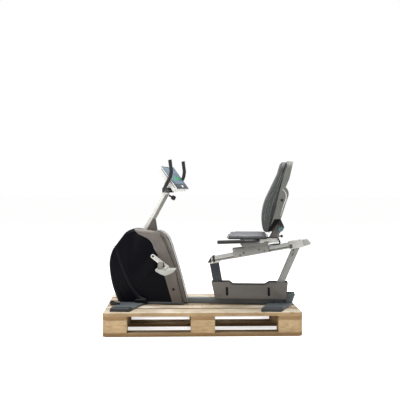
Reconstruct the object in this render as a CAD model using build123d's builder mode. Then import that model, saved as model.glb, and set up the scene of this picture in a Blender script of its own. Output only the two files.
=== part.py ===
from build123d import *
import math
import os

# A stationary recumbent exercise bike that stands on a four-way wooden pallet.
# Millimetres. +X runs to the rear of the bike, +Y to its right side, +Z up.
# The origin is on the floor, below the middle plane of the bike.

os.makedirs("parts", exist_ok=True)

# ---------------------------------------------------------------- driving sizes
# Pallet
PALLET_LENGTH = 1200.0
PALLET_WIDTH = 800.0
PALLET_YAW = 6.0            # the bike stands a little askew on it
PALLET_OFFSET_Y = 25.0
PALLET_CORNER = 20.0
BOARD_T = 22.0
BLOCK_HEIGHT = 78.0
BLOCK_LENGTH = 145.0
DECK_BOARD_WIDTHS = (145.0, 100.0, 145.0, 100.0, 145.0)
SKID_WIDTHS = (100.0, 145.0, 100.0)

# Fits
RUN_FIT = 0.05              # radial play of a turning pin
SLIDE_FIT = 0.3             # play of a sliding pad
SOFT_FIT = 0.3              # air under a cushion

# Floor frame
PAD_T = 4.0
FOOT_T = 9.0
FOOT_CAP_LENGTH = 62.0
FOOT_CAP_RISE = 9.0
BEAM_WIDTH = 50.0
BEAM_HEIGHT = 33.0
BEAM_INSET = 25.0           # how far the beam reaches over each foot
FRONT_FOOT_REACH = 382.0
FRONT_FOOT_ROOT = (-510.0, -340.0)
FRONT_FOOT_TIP = (-522.0, -403.0)
REAR_FOOT_REACH = 315.0
REAR_FOOT_ROOT = (432.0, 588.0)
REAR_FOOT_TIP = (388.0, 510.0)

# Transport wheels
WHEEL_R = 15.0
WHEEL_WIDTH = 14.0
WHEEL_PIN_R = 4.0
WHEEL_X = -545.0
WHEEL_H = 21.0
WHEEL_Y = 175.0
WHEEL_FORK_T = 3.0
WHEEL_FORK_GAP = 3.0

# Housing
HOUSING_HEIGHT = 484.0      # of its top above the deck
HOUSING_HALF_WIDTH = 75.0
HOUSING_WALL = 3.5
HOUSING_EDGE_R = 24.0
SPINE_HALF_WIDTH = 48.0
SPINE_EDGE_R = 6.0
DRIVE_BLOCK_LENGTH = 190.0
DRIVE_BLOCK_WIDTH = 70.0
DRIVE_BLOCK_HEIGHT = 200.0
DRIVE_BLOCK_SETBACK = 7.0    # from the front of the housing's foot

# Crank and pedals
CRANK_X = -295.0
CRANK_H = 312.0
CRANK_LENGTH = 115.0
CRANK_ANGLE = 38.0          # below level, the left arm points to the rear
CRANK_AXLE_R = 10.0
CRANK_ARM_WIDTH = 27.0
CRANK_ARM_T = 12.0
CRANK_ARM_Y = 108.0         # inner face of an arm
CRANK_BOSS_R = 24.0
CRANK_BOSS_RISE = 6.0
PEDAL_PIN_R = 6.0
PEDAL_GAP = 8.0
PEDAL_WIDTH = 104.0
PEDAL_LENGTH = 121.0
PEDAL_DEPTH = 39.0
PEDAL_EDGE = 9.0
PEDAL_BARREL_R = 13.0
STRAP_T = 3.0
STRAP_WIDTH = 32.0
STRAP_RISE = 42.0

# Mast and head
MAST_LEAN = 28.3            # from upright
MAST_WIDTH = 44.0
MAST_DEPTH = 38.0
MAST_CORNER_R = 14.0
MAST_RISE = 154.0           # of the bare tube above its boot
BOOT_RISE = 79.0
BOOT_SETBACK = 27.5
BOOT_BASE_LENGTH = 92.0
BOOT_BASE_WIDTH = 70.0
COLLAR_R = 25.0
COLLAR_HEIGHT = 12.0
HEAD_PIN_R = 6.0
HEAD_PIN_HEIGHT = 20.0
HEAD_SWIVEL = -9.5
HUB_HEIGHT = 30.0
HUB_WIDTH = 46.0
HUB_FRONT = -20.0
HUB_REAR = 52.0
BAR_R = 10.0
GRIP_R = 12.5
BAR_BACK = 31.5
BAR_HALF_WIDTH = 160.0
BAR_CORNERS = ((46.0, 85.0), (52.0, 120.0), (43.0, 188.0))     # back and up from the cross bar
CONSOLE_WIDTH = 286.0
CONSOLE_HEIGHT = 182.0
CONSOLE_T = 34.0
CONSOLE_CORNER_R = 14.0
CONSOLE_TILT = 53.5         # face, up from level
CONSOLE_BACK = 65.5
CONSOLE_RISE = 64.7         # middle of the face above the hub
SCREEN_MARGIN = 8.0
SCREEN_T = 2.0
CONSOLE_ARM_WIDTH = 44.0
CLAMP_KNOB_R = 15.0
CLAMP_KNOB_LENGTH = 28.0
CLAMP_KNOB_OUT = 44.0
CLAMP_RISE = 5.0
CLAMP_STEM_R = 6.0

# Base box and posts
BASE_HALF_WIDTH = 52.0
BASE_WALL = 4.0
BASE_TOP = (73.0, 561.0)
BASE_BOTTOM = (97.0, 550.0)
BASE_SHOULDER_HEIGHT = 106.5
BASE_MIDDLE_HEIGHT = 89.0
BASE_SHOULDERS = (186.0, 209.0, 413.0, 444.0)      # steps in its top edge, front to rear
SLOT_X = (174.0, 440.0)
SLOT_WIDTH = 14.0
SLOT_HEIGHT = 54.0
SLOT_BOTTOM = 21.0
PLUG_RECESS = 1.5            # of a slot plug, below the face of the box
PLUG_T = 6.0
FRONT_POST_DEPTH = 57.0
FRONT_POST_WIDTH = 60.0
FRONT_POST_TOP_X = 88.0
REAR_POST_DEPTH = 42.0
REAR_POST_WIDTH = 60.0
REAR_POST_TOP_X = 612.0
REAR_POST_LEAN = 23.4

# Seat rail
RAIL_TILT = 10.6
RAIL_FRONT_X = 71.0
RAIL_FRONT_H = 284.0
RAIL_LENGTH = 601.0
RAIL_HEIGHT = 34.0
RAIL_WIDTH = 60.0
RAIL_WALL = 4.0
RAIL_CAP_LENGTH = 44.0
NOSE_LENGTH = 24.0
STOP_START = 10.0
STOP_LENGTH = 14.0
STOP_T = 5.0
SLEEVE_REACH = 95.0         # from the start of the sleeve to the end of the rail
SLEEVE_START = RAIL_LENGTH - SLEEVE_REACH
SLEEVE_LENGTH = 90.0
SLEEVE_T = 7.0

# Seat carriage
CARRIAGE_START = 147.0
CARRIAGE_LENGTH = 229.0
CARRIAGE_HALF_WIDTH = 52.0
CARRIAGE_WALL = 5.0
CARRIAGE_DROP = 15.0        # skirt below the middle of the rail
CARRIAGE_FRONT_RISE = 46.0
CARRIAGE_REAR_RISE = 29.0
GLIDE_LENGTH = 30.0
GLIDE_INSET = 10.0
FRAME_HALF_WIDTH = 60.0
FRAME_WALL = 4.0
FRAME_HEIGHT = 63.5         # above the front of its foot on the carriage
FRAME_FRONT_X = 258.0
FRAME_REAR_X = 505.0
FRAME_TOE = 20.0
BRACKET_T = 4.0
PAN_T = 4.0
SEAT_DEPTH = 253.0
SEAT_TO_PIVOT = 81.0
SEAT_HALF_WIDTH = 190.0
SEAT_CUSHION_T = 20.0
SEAT_CORNER_R = 38.0
SEAT_EDGE_R = 8.0
HANDLE_Y = 200.0
HANDLE_R = 10.0
HANDLE_GRIP_R = 13.0
HANDLE_REACHES = {-1: 57.0, 1: 0.0}          # in front of the seat, left and right
HANDLE_GRIP_LENGTH = 169.0
HANDLE_REAR_SETBACK = 133.0
HANDLE_FRONT_DROP = 18.0    # below the top of the seat frame
HANDLE_REAR_DROP = 10.0
HANDLE_BEND_R = 45.0
LEVER_T = 4.0

# Backrest
PIVOT_BACK = 7.0            # behind the seat frame
PIVOT_RISE = 57.0           # above the seat frame
PIVOT_R = 8.0
HINGE_PLATE_Y = 45.0        # inner face of a fixed hinge plate
HINGE_PLATE_T = 5.0
HINGE_GAP = 1.0
BACK_ARM_T = 6.0
RECLINE_KNOB_R = 17.0
RECLINE_KNOB_T = 14.0
BALL_R = 9.0
BALL_STEM_R = 4.0
BACK_HALF_WIDTH = 195.0
BACK_TOP_HALF_WIDTH = 150.0
BACK_HEIGHT = 429.0         # above the recline pivot
BACK_CORNER_R = 70.0
BACK_EDGE_R = 10.0

# ---------------------------------------------------------------- derived places
DECK_TOP = 3 * BOARD_T + BLOCK_HEIGHT
FOOT_TOP = PAD_T + FOOT_T                 # heights from here on are above the deck
BEAM_TOP = PAD_T + BEAM_HEIGHT
BASE_FLOOR = BEAM_TOP + BASE_WALL

RAIL_COS = math.cos(math.radians(RAIL_TILT))
RAIL_SIN = math.sin(math.radians(RAIL_TILT))
MAST_SLOPE = math.tan(math.radians(MAST_LEAN))


def housing(*points):
    """Side-view points given as shares of the housing's height."""
    return [(x * HOUSING_HEIGHT, h * HOUSING_HEIGHT) for x, h in points]


def backrest(*points):
    """Side-view points given from the recline pivot, as shares of the backrest's height."""
    return [(PIVOT_X + x * BACK_HEIGHT, PIVOT_H + h * BACK_HEIGHT) for x, h in points]


SHELL_BASE_H = FOOT_TOP
SHELL_TOP_FRONT, SHELL_TOP_REAR = housing((-0.8388, 1.0000), (-0.5826, 0.9731))
MAST_X_AT_BOOT = SHELL_TOP_REAR[0] - BOOT_SETBACK
BOOT_TOP_H = SHELL_TOP_REAR[1] + BOOT_RISE
MAST_TOP_H = BOOT_TOP_H + MAST_RISE
MAST_TOP_X = MAST_X_AT_BOOT + (MAST_TOP_H - BOOT_TOP_H) * MAST_SLOPE

PALLET_X = (math.cos(math.radians(PALLET_YAW)), math.sin(math.radians(PALLET_YAW)), 0)
PALLET = Plane(origin=(0, PALLET_OFFSET_Y, 0), x_dir=PALLET_X, z_dir=(0, 0, 1))
DECK = Plane(origin=(0, 0, DECK_TOP))                                      # plan, on the deck
SIDE = Plane(origin=(0, 0, DECK_TOP), x_dir=(1, 0, 0), z_dir=(0, -1, 0))   # side view, height above the deck
RAIL = Plane(
    origin=(RAIL_FRONT_X, 0, DECK_TOP + RAIL_FRONT_H),
    x_dir=(RAIL_COS, 0, RAIL_SIN),
    z_dir=(0, -1, 0),
)
HEAD_X_DIR = (math.cos(math.radians(HEAD_SWIVEL)), math.sin(math.radians(HEAD_SWIVEL)), 0)
HEAD_Y_DIR = (-HEAD_X_DIR[1], HEAD_X_DIR[0], 0)
HEAD = Plane(origin=(MAST_TOP_X, 0, DECK_TOP), x_dir=HEAD_X_DIR, z_dir=(0, 0, 1))
HEAD_SIDE = Plane(
    origin=(MAST_TOP_X, 0, DECK_TOP),
    x_dir=HEAD_X_DIR,
    z_dir=(-HEAD_Y_DIR[0], -HEAD_Y_DIR[1], 0),
)


def row_centres(widths, total):
    """Middles of rows of the given widths, spread evenly over the total."""
    gap = (total - sum(widths)) / (len(widths) - 1)
    centres = []
    edge = -total / 2
    for width in widths:
        centres.append(edge + width / 2)
        edge += width + gap
    return centres


def rail_height(x, t=0.0):
    """Height above the deck of the line t above the rail's middle line, at x."""
    return RAIL_FRONT_H + (x - RAIL_FRONT_X) * RAIL_SIN / RAIL_COS + t / RAIL_COS


def side_to_rail(x, height):
    """Side-view point as (along, above) in the rail's own axes."""
    dx = x - RAIL_FRONT_X
    dh = height - RAIL_FRONT_H
    return (dx * RAIL_COS + dh * RAIL_SIN, dh * RAIL_COS - dx * RAIL_SIN)


def rail_to_side(along, above):
    """Point in the rail's axes as (x, height above the deck)."""
    return (
        RAIL_FRONT_X + along * RAIL_COS - above * RAIL_SIN,
        RAIL_FRONT_H + along * RAIL_SIN + above * RAIL_COS,
    )


def carriage_rise(along):
    """Top of the carriage above the rail's middle line."""
    share = (along - CARRIAGE_START) / CARRIAGE_LENGTH
    return CARRIAGE_FRONT_RISE + (CARRIAGE_REAR_RISE - CARRIAGE_FRONT_RISE) * share


def carriage_top(x):
    """Height above the deck of the carriage's top face at x."""
    front = rail_to_side(CARRIAGE_START, CARRIAGE_FRONT_RISE)
    rear = rail_to_side(CARRIAGE_END, CARRIAGE_REAR_RISE)
    return front[1] + (rear[1] - front[1]) * (x - front[0]) / (rear[0] - front[0])


CARRIAGE_END = CARRIAGE_START + CARRIAGE_LENGTH
FRAME_SEAT_FRONT = FRAME_FRONT_X + FRAME_TOE
FRAME_SEAT_REAR = rail_to_side(CARRIAGE_END, CARRIAGE_REAR_RISE)[0] - CARRIAGE_WALL
FRAME_TOP_H = carriage_top(FRAME_SEAT_FRONT) + FRAME_HEIGHT
PIVOT_X = FRAME_REAR_X + PIVOT_BACK
PIVOT_H = FRAME_TOP_H + PIVOT_RISE
BACK_TOP_H = PIVOT_H + BACK_HEIGHT
SEAT_REAR_X = PIVOT_X - SEAT_TO_PIVOT
SEAT_FRONT_X = SEAT_REAR_X - SEAT_DEPTH
HANDLE_FRONT_X = SEAT_FRONT_X - HANDLE_REACHES[-1]
HANDLE_GRIP_END_X = HANDLE_FRONT_X + HANDLE_GRIP_LENGTH
HANDLE_REAR_X = FRAME_REAR_X - HANDLE_REAR_SETBACK
HANDLE_FRONT_H = FRAME_TOP_H - HANDLE_FRONT_DROP
HANDLE_REAR_H = FRAME_TOP_H - HANDLE_REAR_DROP

# ---------------------------------------------------------------- pallet
BLOCK_ROWS_X = row_centres((BLOCK_LENGTH, BLOCK_LENGTH, BLOCK_LENGTH), PALLET_LENGTH)
SKID_ROWS_Y = row_centres(SKID_WIDTHS, PALLET_WIDTH)
DECK_ROWS_Y = row_centres(DECK_BOARD_WIDTHS, PALLET_WIDTH)

with BuildSketch() as pallet_outline:
    Rectangle(PALLET_LENGTH, PALLET_WIDTH)
    chamfer(pallet_outline.vertices(), length=PALLET_CORNER)

with BuildPart() as pallet_bottom_boards:
    with BuildSketch(PALLET):
        for centre, width in zip(SKID_ROWS_Y, SKID_WIDTHS):
            with Locations((0, centre)):
                Rectangle(PALLET_LENGTH, width)
        add(pallet_outline.sketch, mode=Mode.INTERSECT)
    extrude(amount=BOARD_T)
pallet_bottom_boards.part.label = "pallet_bottom_boards"
export_step(pallet_bottom_boards.part, "parts/pallet_bottom_boards.step")

with BuildPart() as pallet_blocks:
    with BuildSketch(PALLET.offset(BOARD_T)):
        for centre_y, width in zip(SKID_ROWS_Y, SKID_WIDTHS):
            for centre_x in BLOCK_ROWS_X:
                with Locations((centre_x, centre_y)):
                    Rectangle(BLOCK_LENGTH, width)
        add(pallet_outline.sketch, mode=Mode.INTERSECT)
    extrude(amount=BLOCK_HEIGHT)
pallet_blocks.part.label = "pallet_blocks"
export_step(pallet_blocks.part, "parts/pallet_blocks.step")

with BuildPart() as pallet_stringer_boards:
    with BuildSketch(PALLET.offset(BOARD_T + BLOCK_HEIGHT)):
        for centre in BLOCK_ROWS_X:
            with Locations((centre, 0)):
                Rectangle(BLOCK_LENGTH, PALLET_WIDTH)
        add(pallet_outline.sketch, mode=Mode.INTERSECT)
    extrude(amount=BOARD_T)
pallet_stringer_boards.part.label = "pallet_stringer_boards"
export_step(pallet_stringer_boards.part, "parts/pallet_stringer_boards.step")

with BuildPart() as pallet_deck_boards:
    with BuildSketch(PALLET.offset(DECK_TOP - BOARD_T)):
        for centre, width in zip(DECK_ROWS_Y, DECK_BOARD_WIDTHS):
            with Locations((0, centre)):
                Rectangle(PALLET_LENGTH, width)
        add(pallet_outline.sketch, mode=Mode.INTERSECT)
    extrude(amount=BOARD_T)
pallet_deck_boards.part.label = "pallet_deck_boards"
export_step(pallet_deck_boards.part, "parts/pallet_deck_boards.step")


# ---------------------------------------------------------------- feet and main beam
def foot_x(root, tip, reach, y):
    """Front and rear edge of a foot at a distance y from the middle plane."""
    share = (y - BEAM_WIDTH / 2) / (reach - BEAM_WIDTH / 2)
    return tuple(root[end] + (tip[end] - root[end]) * share for end in (0, 1))


def foot_band(root, tip, reach, near, far):
    """Plan corners of a stretch of a foot, on the +Y side."""
    near_x = foot_x(root, tip, reach, near)
    far_x = foot_x(root, tip, reach, far)
    return [(near_x[0], near), (near_x[1], near), (far_x[1], far), (far_x[0], far)]


def mirrored(points):
    """The same plan corners on the -Y side, in turning order."""
    return [(x, -y) for x, y in reversed(points)]


FEET = (  # name, root x, tip x, reach
    ("front_stabilizer", FRONT_FOOT_ROOT, FRONT_FOOT_TIP, FRONT_FOOT_REACH),
    ("rear_stabilizer", REAR_FOOT_ROOT, REAR_FOOT_TIP, REAR_FOOT_REACH),
)

for name, root, tip, reach in FEET:
    cap_start = reach - FOOT_CAP_LENGTH
    with BuildPart() as foot:
        with BuildSketch(DECK.offset(PAD_T)):
            with BuildLine():
                band = foot_band(root, tip, reach, BEAM_WIDTH / 2, cap_start)
                plate = band[1:] + band[:1]
                Polyline(*plate, *mirrored(plate), close=True)
            make_face()
        extrude(amount=FOOT_T)
    foot.part.label = name
    export_step(foot.part, f"parts/{name}.step")

with BuildPart() as foot_end_caps:
    for name, root, tip, reach in FEET:
        cap = foot_band(root, tip, reach, reach - FOOT_CAP_LENGTH, reach)
        for corners in (cap, mirrored(cap)):
            with BuildSketch(DECK.offset(PAD_T)):
                with BuildLine():
                    Polyline(*corners, close=True)
                make_face()
            extrude(amount=FOOT_T + FOOT_CAP_RISE, taper=8)
foot_end_caps.part.label = "foot_end_caps"
export_step(foot_end_caps.part, "parts/foot_end_caps.step")

with BuildPart() as foot_pads:
    for name, root, tip, reach in FEET:
        pad = foot_band(root, tip, reach, reach - FOOT_CAP_LENGTH, reach - PAD_T)
        for corners in (pad, mirrored(pad)):
            with BuildSketch(DECK):
                with BuildLine():
                    Polyline(*corners, close=True)
                make_face()
            extrude(amount=PAD_T)
foot_pads.part.label = "foot_pads"
export_step(foot_pads.part, "parts/foot_pads.step")

BEAM_FRONT_X = FRONT_FOOT_ROOT[0] + BEAM_INSET
BEAM_REAR_X = REAR_FOOT_ROOT[1] - BEAM_INSET
with BuildPart() as main_beam:
    with BuildSketch(SIDE):
        with BuildLine():
            Polyline(
                (BEAM_FRONT_X, FOOT_TOP),
                (BEAM_FRONT_X, BEAM_TOP),
                (BEAM_REAR_X, BEAM_TOP),
                (BEAM_REAR_X, FOOT_TOP),
                (REAR_FOOT_ROOT[0], FOOT_TOP),
                (REAR_FOOT_ROOT[0], PAD_T),
                (FRONT_FOOT_ROOT[1], PAD_T),
                (FRONT_FOOT_ROOT[1], FOOT_TOP),
                close=True,
            )
        make_face()
    extrude(amount=BEAM_WIDTH / 2, both=True)
main_beam.part.label = "main_beam"
export_step(main_beam.part, "parts/main_beam.step")

# ---------------------------------------------------------------- transport wheels
WHEEL_FOOT_X = foot_x(FRONT_FOOT_ROOT, FRONT_FOOT_TIP, FRONT_FOOT_REACH, WHEEL_Y)[0]
FORK_INNER = WHEEL_WIDTH / 2 + WHEEL_FORK_GAP
FORK_HALF_HEIGHT = FOOT_T / 2
with BuildPart() as wheel_brackets:
    for side in (-1, 1):
        for cheek in (-1, 1):
            centre = side * WHEEL_Y + cheek * (FORK_INNER + WHEEL_FORK_T / 2)
            with BuildSketch(Plane(origin=(0, centre, DECK_TOP), x_dir=(1, 0, 0), z_dir=(0, -1, 0))):
                with BuildLine():
                    Polyline(
                        (WHEEL_FOOT_X - 4.0, PAD_T),
                        (WHEEL_X - 2 * WHEEL_PIN_R, WHEEL_H - WHEEL_PIN_R),
                        (WHEEL_X - 2 * WHEEL_PIN_R, WHEEL_H + 2 * WHEEL_PIN_R),
                        (WHEEL_X + 2 * WHEEL_PIN_R, WHEEL_H + 2 * WHEEL_PIN_R),
                        (WHEEL_FOOT_X + 20.0, FOOT_TOP + 6.0),
                        (WHEEL_FOOT_X + 20.0, FOOT_TOP),
                        (WHEEL_FOOT_X - 4.0, FOOT_TOP),
                        close=True,
                    )
                make_face()
            extrude(amount=WHEEL_FORK_T / 2, both=True)
        with BuildSketch(Plane(origin=(0, side * WHEEL_Y, DECK_TOP), x_dir=(1, 0, 0), z_dir=(0, -1, 0))):
            with Locations((WHEEL_X, WHEEL_H)):
                Circle(WHEEL_PIN_R)
        extrude(amount=FORK_INNER + WHEEL_FORK_T, both=True)
wheel_brackets.part.label = "wheel_brackets"
export_step(wheel_brackets.part, "parts/wheel_brackets.step")

for name, side in (("transport_wheel_left", -1), ("transport_wheel_right", 1)):
    with BuildPart() as transport_wheel:
        with BuildSketch(Plane(origin=(0, side * WHEEL_Y, DECK_TOP), x_dir=(1, 0, 0), z_dir=(0, -1, 0))):
            with Locations((WHEEL_X, WHEEL_H)):
                Circle(WHEEL_R)
                Circle(WHEEL_PIN_R + RUN_FIT, mode=Mode.SUBTRACT)
        extrude(amount=WHEEL_WIDTH / 2, both=True)
        chamfer(transport_wheel.edges().filter_by(GeomType.CIRCLE).sort_by(SortBy.RADIUS)[-2:], length=1.5)
    transport_wheel.part.label = name
    export_step(transport_wheel.part, f"parts/{name}.step")

# ---------------------------------------------------------------- drive housing
# Side-view outline of the shells, from the foot up the front, and down the rear.
SHELL_FRONT_X = -1.0888 * HOUSING_HEIGHT
SHELL_REAR_X = -0.2107 * HOUSING_HEIGHT
SHELL_FRONT = housing(
    (-1.1818, 0.2913),
    (-1.2107, 0.5083),
    (-1.1983, 0.6281),
    (-1.1570, 0.7355),
    (-1.0041, 0.9360),
    (-0.9339, 0.9835),
)
SHELL_REAR = housing(
    (-0.5124, 0.9339),
    (-0.4669, 0.8574),
    (-0.3306, 0.5165),
)
COVER = housing(
    (-0.9091, 1.0331),
    (-0.8202, 0.9339),
    (-0.7231, 0.8884),
    (-0.6446, 0.8264),
    (-0.6116, 0.7459),
    (-0.5413, 0.6240),
    (-0.4959, 0.5165),
    (-0.4752, 0.4050),
    (-0.3554, 0.0000),
    (-1.3223, 0.0000),
    (-1.3223, 1.0331),
)


def shell_rear_curve():
    """The rear edge of the shells, from the top line down to the foot."""
    ThreePointArc(SHELL_TOP_REAR, SHELL_REAR[0], SHELL_REAR[1])
    ThreePointArc(SHELL_REAR[1], SHELL_REAR[2], (SHELL_REAR_X, SHELL_BASE_H))


with BuildSketch() as shell_outline:
    with BuildLine():
        ThreePointArc((SHELL_FRONT_X, SHELL_BASE_H), SHELL_FRONT[0], SHELL_FRONT[1])
        ThreePointArc(SHELL_FRONT[1], SHELL_FRONT[2], SHELL_FRONT[3])
        Line(SHELL_FRONT[3], SHELL_FRONT[4])
        ThreePointArc(SHELL_FRONT[4], SHELL_FRONT[5], SHELL_TOP_FRONT)
        Line(SHELL_TOP_FRONT, SHELL_TOP_REAR)
        shell_rear_curve()
        Line((SHELL_REAR_X, SHELL_BASE_H), (SHELL_FRONT_X, SHELL_BASE_H))
    make_face()

# The black cover is the part of a shell in front of this line.
with BuildSketch() as cover_region:
    with BuildLine():
        Polyline(COVER[0], COVER[1], COVER[2])
        ThreePointArc(COVER[2], COVER[3], COVER[4])
        Line(COVER[4], COVER[5])
        ThreePointArc(COVER[5], COVER[6], COVER[7])
        Polyline(COVER[7], COVER[8], COVER[9], COVER[10], COVER[0])
    make_face()

with BuildPart() as beam_way:
    with BuildSketch(SIDE):
        with Locations(((BEAM_FRONT_X + BEAM_REAR_X) / 2, BEAM_TOP / 2)):
            Rectangle(BEAM_REAR_X - BEAM_FRONT_X, BEAM_TOP)
    extrude(amount=BEAM_WIDTH / 2, both=True)

with BuildPart() as shell_left:
    with BuildSketch(SIDE):
        add(shell_outline.sketch)
    extrude(amount=HOUSING_HALF_WIDTH)
    outer_face = shell_left.faces().sort_by(Axis.Y)[0]
    fillet(outer_face.edges().filter_by(lambda e: e.center().Z > DECK_TOP + SHELL_BASE_H + 1), HOUSING_EDGE_R)
    with BuildSketch(SIDE):
        with Locations((CRANK_X, CRANK_H)):
            Circle(CRANK_BOSS_R)
    extrude(amount=HOUSING_HALF_WIDTH + CRANK_BOSS_RISE)

# The hollow inside, open below.
with BuildPart() as shell_hollow:
    with BuildSketch(SIDE):
        add(shell_outline.sketch)
        offset(amount=-HOUSING_WALL, kind=Kind.INTERSECTION)
    extrude(amount=HOUSING_HALF_WIDTH - HOUSING_WALL)
    hollow_face = shell_hollow.faces().sort_by(Axis.Y)[0]
    fillet(
        hollow_face.edges().filter_by(lambda e: e.center().Z > DECK_TOP + SHELL_BASE_H + 2 * HOUSING_WALL),
        HOUSING_EDGE_R - HOUSING_WALL,
    )
    with BuildSketch(SIDE):
        with Locations(((SHELL_FRONT_X + SHELL_REAR_X) / 2, SHELL_BASE_H + HOUSING_WALL)):
            Rectangle(SHELL_REAR_X - SHELL_FRONT_X - 4 * HOUSING_WALL, 4 * HOUSING_WALL)
    extrude(amount=HOUSING_HALF_WIDTH - HOUSING_WALL)

with BuildPart() as cover_block:
    with BuildSketch(SIDE):
        add(cover_region.sketch)
    extrude(amount=HOUSING_HALF_WIDTH + 2 * CRANK_BOSS_RISE)
    with BuildSketch(SIDE):
        with Locations((CRANK_X, CRANK_H)):
            Circle(CRANK_BOSS_R)
    extrude(amount=HOUSING_HALF_WIDTH + 2 * CRANK_BOSS_RISE)

with BuildPart() as housing_cover_left:
    add(shell_left.part)
    add(shell_hollow.part, mode=Mode.SUBTRACT)
    add(beam_way.part, mode=Mode.SUBTRACT)
    add(cover_block.part, mode=Mode.INTERSECT)
    with BuildSketch(SIDE):
        with Locations((CRANK_X, CRANK_H)):
            Circle(CRANK_AXLE_R + RUN_FIT)
    extrude(amount=HOUSING_HALF_WIDTH + 2 * CRANK_BOSS_RISE, mode=Mode.SUBTRACT)
housing_cover_left.part.label = "housing_cover_left"
export_step(housing_cover_left.part, "parts/housing_cover_left.step")

with BuildPart() as housing_shell_left:
    add(shell_left.part)
    add(shell_hollow.part, mode=Mode.SUBTRACT)
    add(beam_way.part, mode=Mode.SUBTRACT)
    add(cover_block.part, mode=Mode.SUBTRACT)
housing_shell_left.part.label = "housing_shell_left"
export_step(housing_shell_left.part, "parts/housing_shell_left.step")

for name, half in (("housing_cover_right", housing_cover_left), ("housing_shell_right", housing_shell_left)):
    with BuildPart() as other_half:
        add(half.part.mirror(Plane.XZ))
    other_half.part.label = name
    export_step(other_half.part, f"parts/{name}.step")

SPINE_FOOT_X = -0.1653 * HOUSING_HEIGHT
SPINE = housing(
    (-0.2769, 0.4587),
    (-0.3967, 0.8264),
    (-0.4483, 0.9194),
    (-0.5413, 0.9752),
)
with BuildPart() as housing_spine:
    with BuildSketch(SIDE):
        with BuildLine():
            shell_rear_curve()
            Line((SHELL_REAR_X, SHELL_BASE_H), (SPINE_FOOT_X, SHELL_BASE_H))
            ThreePointArc((SPINE_FOOT_X, SHELL_BASE_H), SPINE[0], SPINE[1])
            ThreePointArc(SPINE[1], SPINE[2], SPINE[3])
            Line(SPINE[3], SHELL_TOP_REAR)
        make_face()
    extrude(amount=SPINE_HALF_WIDTH, both=True)
    add(beam_way.part, mode=Mode.SUBTRACT)
housing_spine.part.label = "housing_spine"
export_step(housing_spine.part, "parts/housing_spine.step")

with BuildPart() as drive_block:
    with BuildSketch(DECK.offset(BEAM_TOP)):
        with Locations((SHELL_FRONT_X + DRIVE_BLOCK_SETBACK + DRIVE_BLOCK_LENGTH / 2, 0)):
            Rectangle(DRIVE_BLOCK_LENGTH, DRIVE_BLOCK_WIDTH)
    extrude(amount=DRIVE_BLOCK_HEIGHT)
drive_block.part.label = "flywheel_drive_block"
export_step(drive_block.part, "parts/flywheel_drive_block.step")


# ---------------------------------------------------------------- crank and pedals
def crank_point(side):
    """Pedal axle in the side view: (x, height) for side -1 (left) or +1 (right)."""
    angle = math.radians(CRANK_ANGLE)
    return (
        CRANK_X - side * CRANK_LENGTH * math.cos(angle),
        CRANK_H + side * CRANK_LENGTH * math.sin(angle),
    )


ARM_OUTER = CRANK_ARM_Y + CRANK_ARM_T
PEDAL_INNER = ARM_OUTER + PEDAL_GAP
with BuildPart() as crank_set:
    with BuildSketch(SIDE):
        with Locations((CRANK_X, CRANK_H)):
            Circle(CRANK_AXLE_R)
    extrude(amount=ARM_OUTER, both=True)
    for side in (-1, 1):
        pedal_x, pedal_h = crank_point(side)
        arm_plane = Plane(
            origin=(0, side * (CRANK_ARM_Y + CRANK_ARM_T / 2), DECK_TOP), x_dir=(1, 0, 0), z_dir=(0, -1, 0)
        )
        with BuildSketch(arm_plane):
            middle = ((CRANK_X + pedal_x) / 2, (CRANK_H + pedal_h) / 2)
            with Locations(Location((middle[0], middle[1], 0), (0, 0, -CRANK_ANGLE))):
                SlotCenterToCenter(CRANK_LENGTH, CRANK_ARM_WIDTH)
        extrude(amount=CRANK_ARM_T / 2, both=True)
        with BuildSketch(Plane(origin=(0, side * ARM_OUTER, DECK_TOP), x_dir=(1, 0, 0), z_dir=(0, side, 0))):
            with Locations((pedal_x, -side * pedal_h)):
                Circle(PEDAL_PIN_R)
        extrude(amount=PEDAL_GAP + PEDAL_WIDTH - PEDAL_EDGE)
crank_set.part.label = "crank_set"
export_step(crank_set.part, "parts/crank_set.step")

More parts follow.
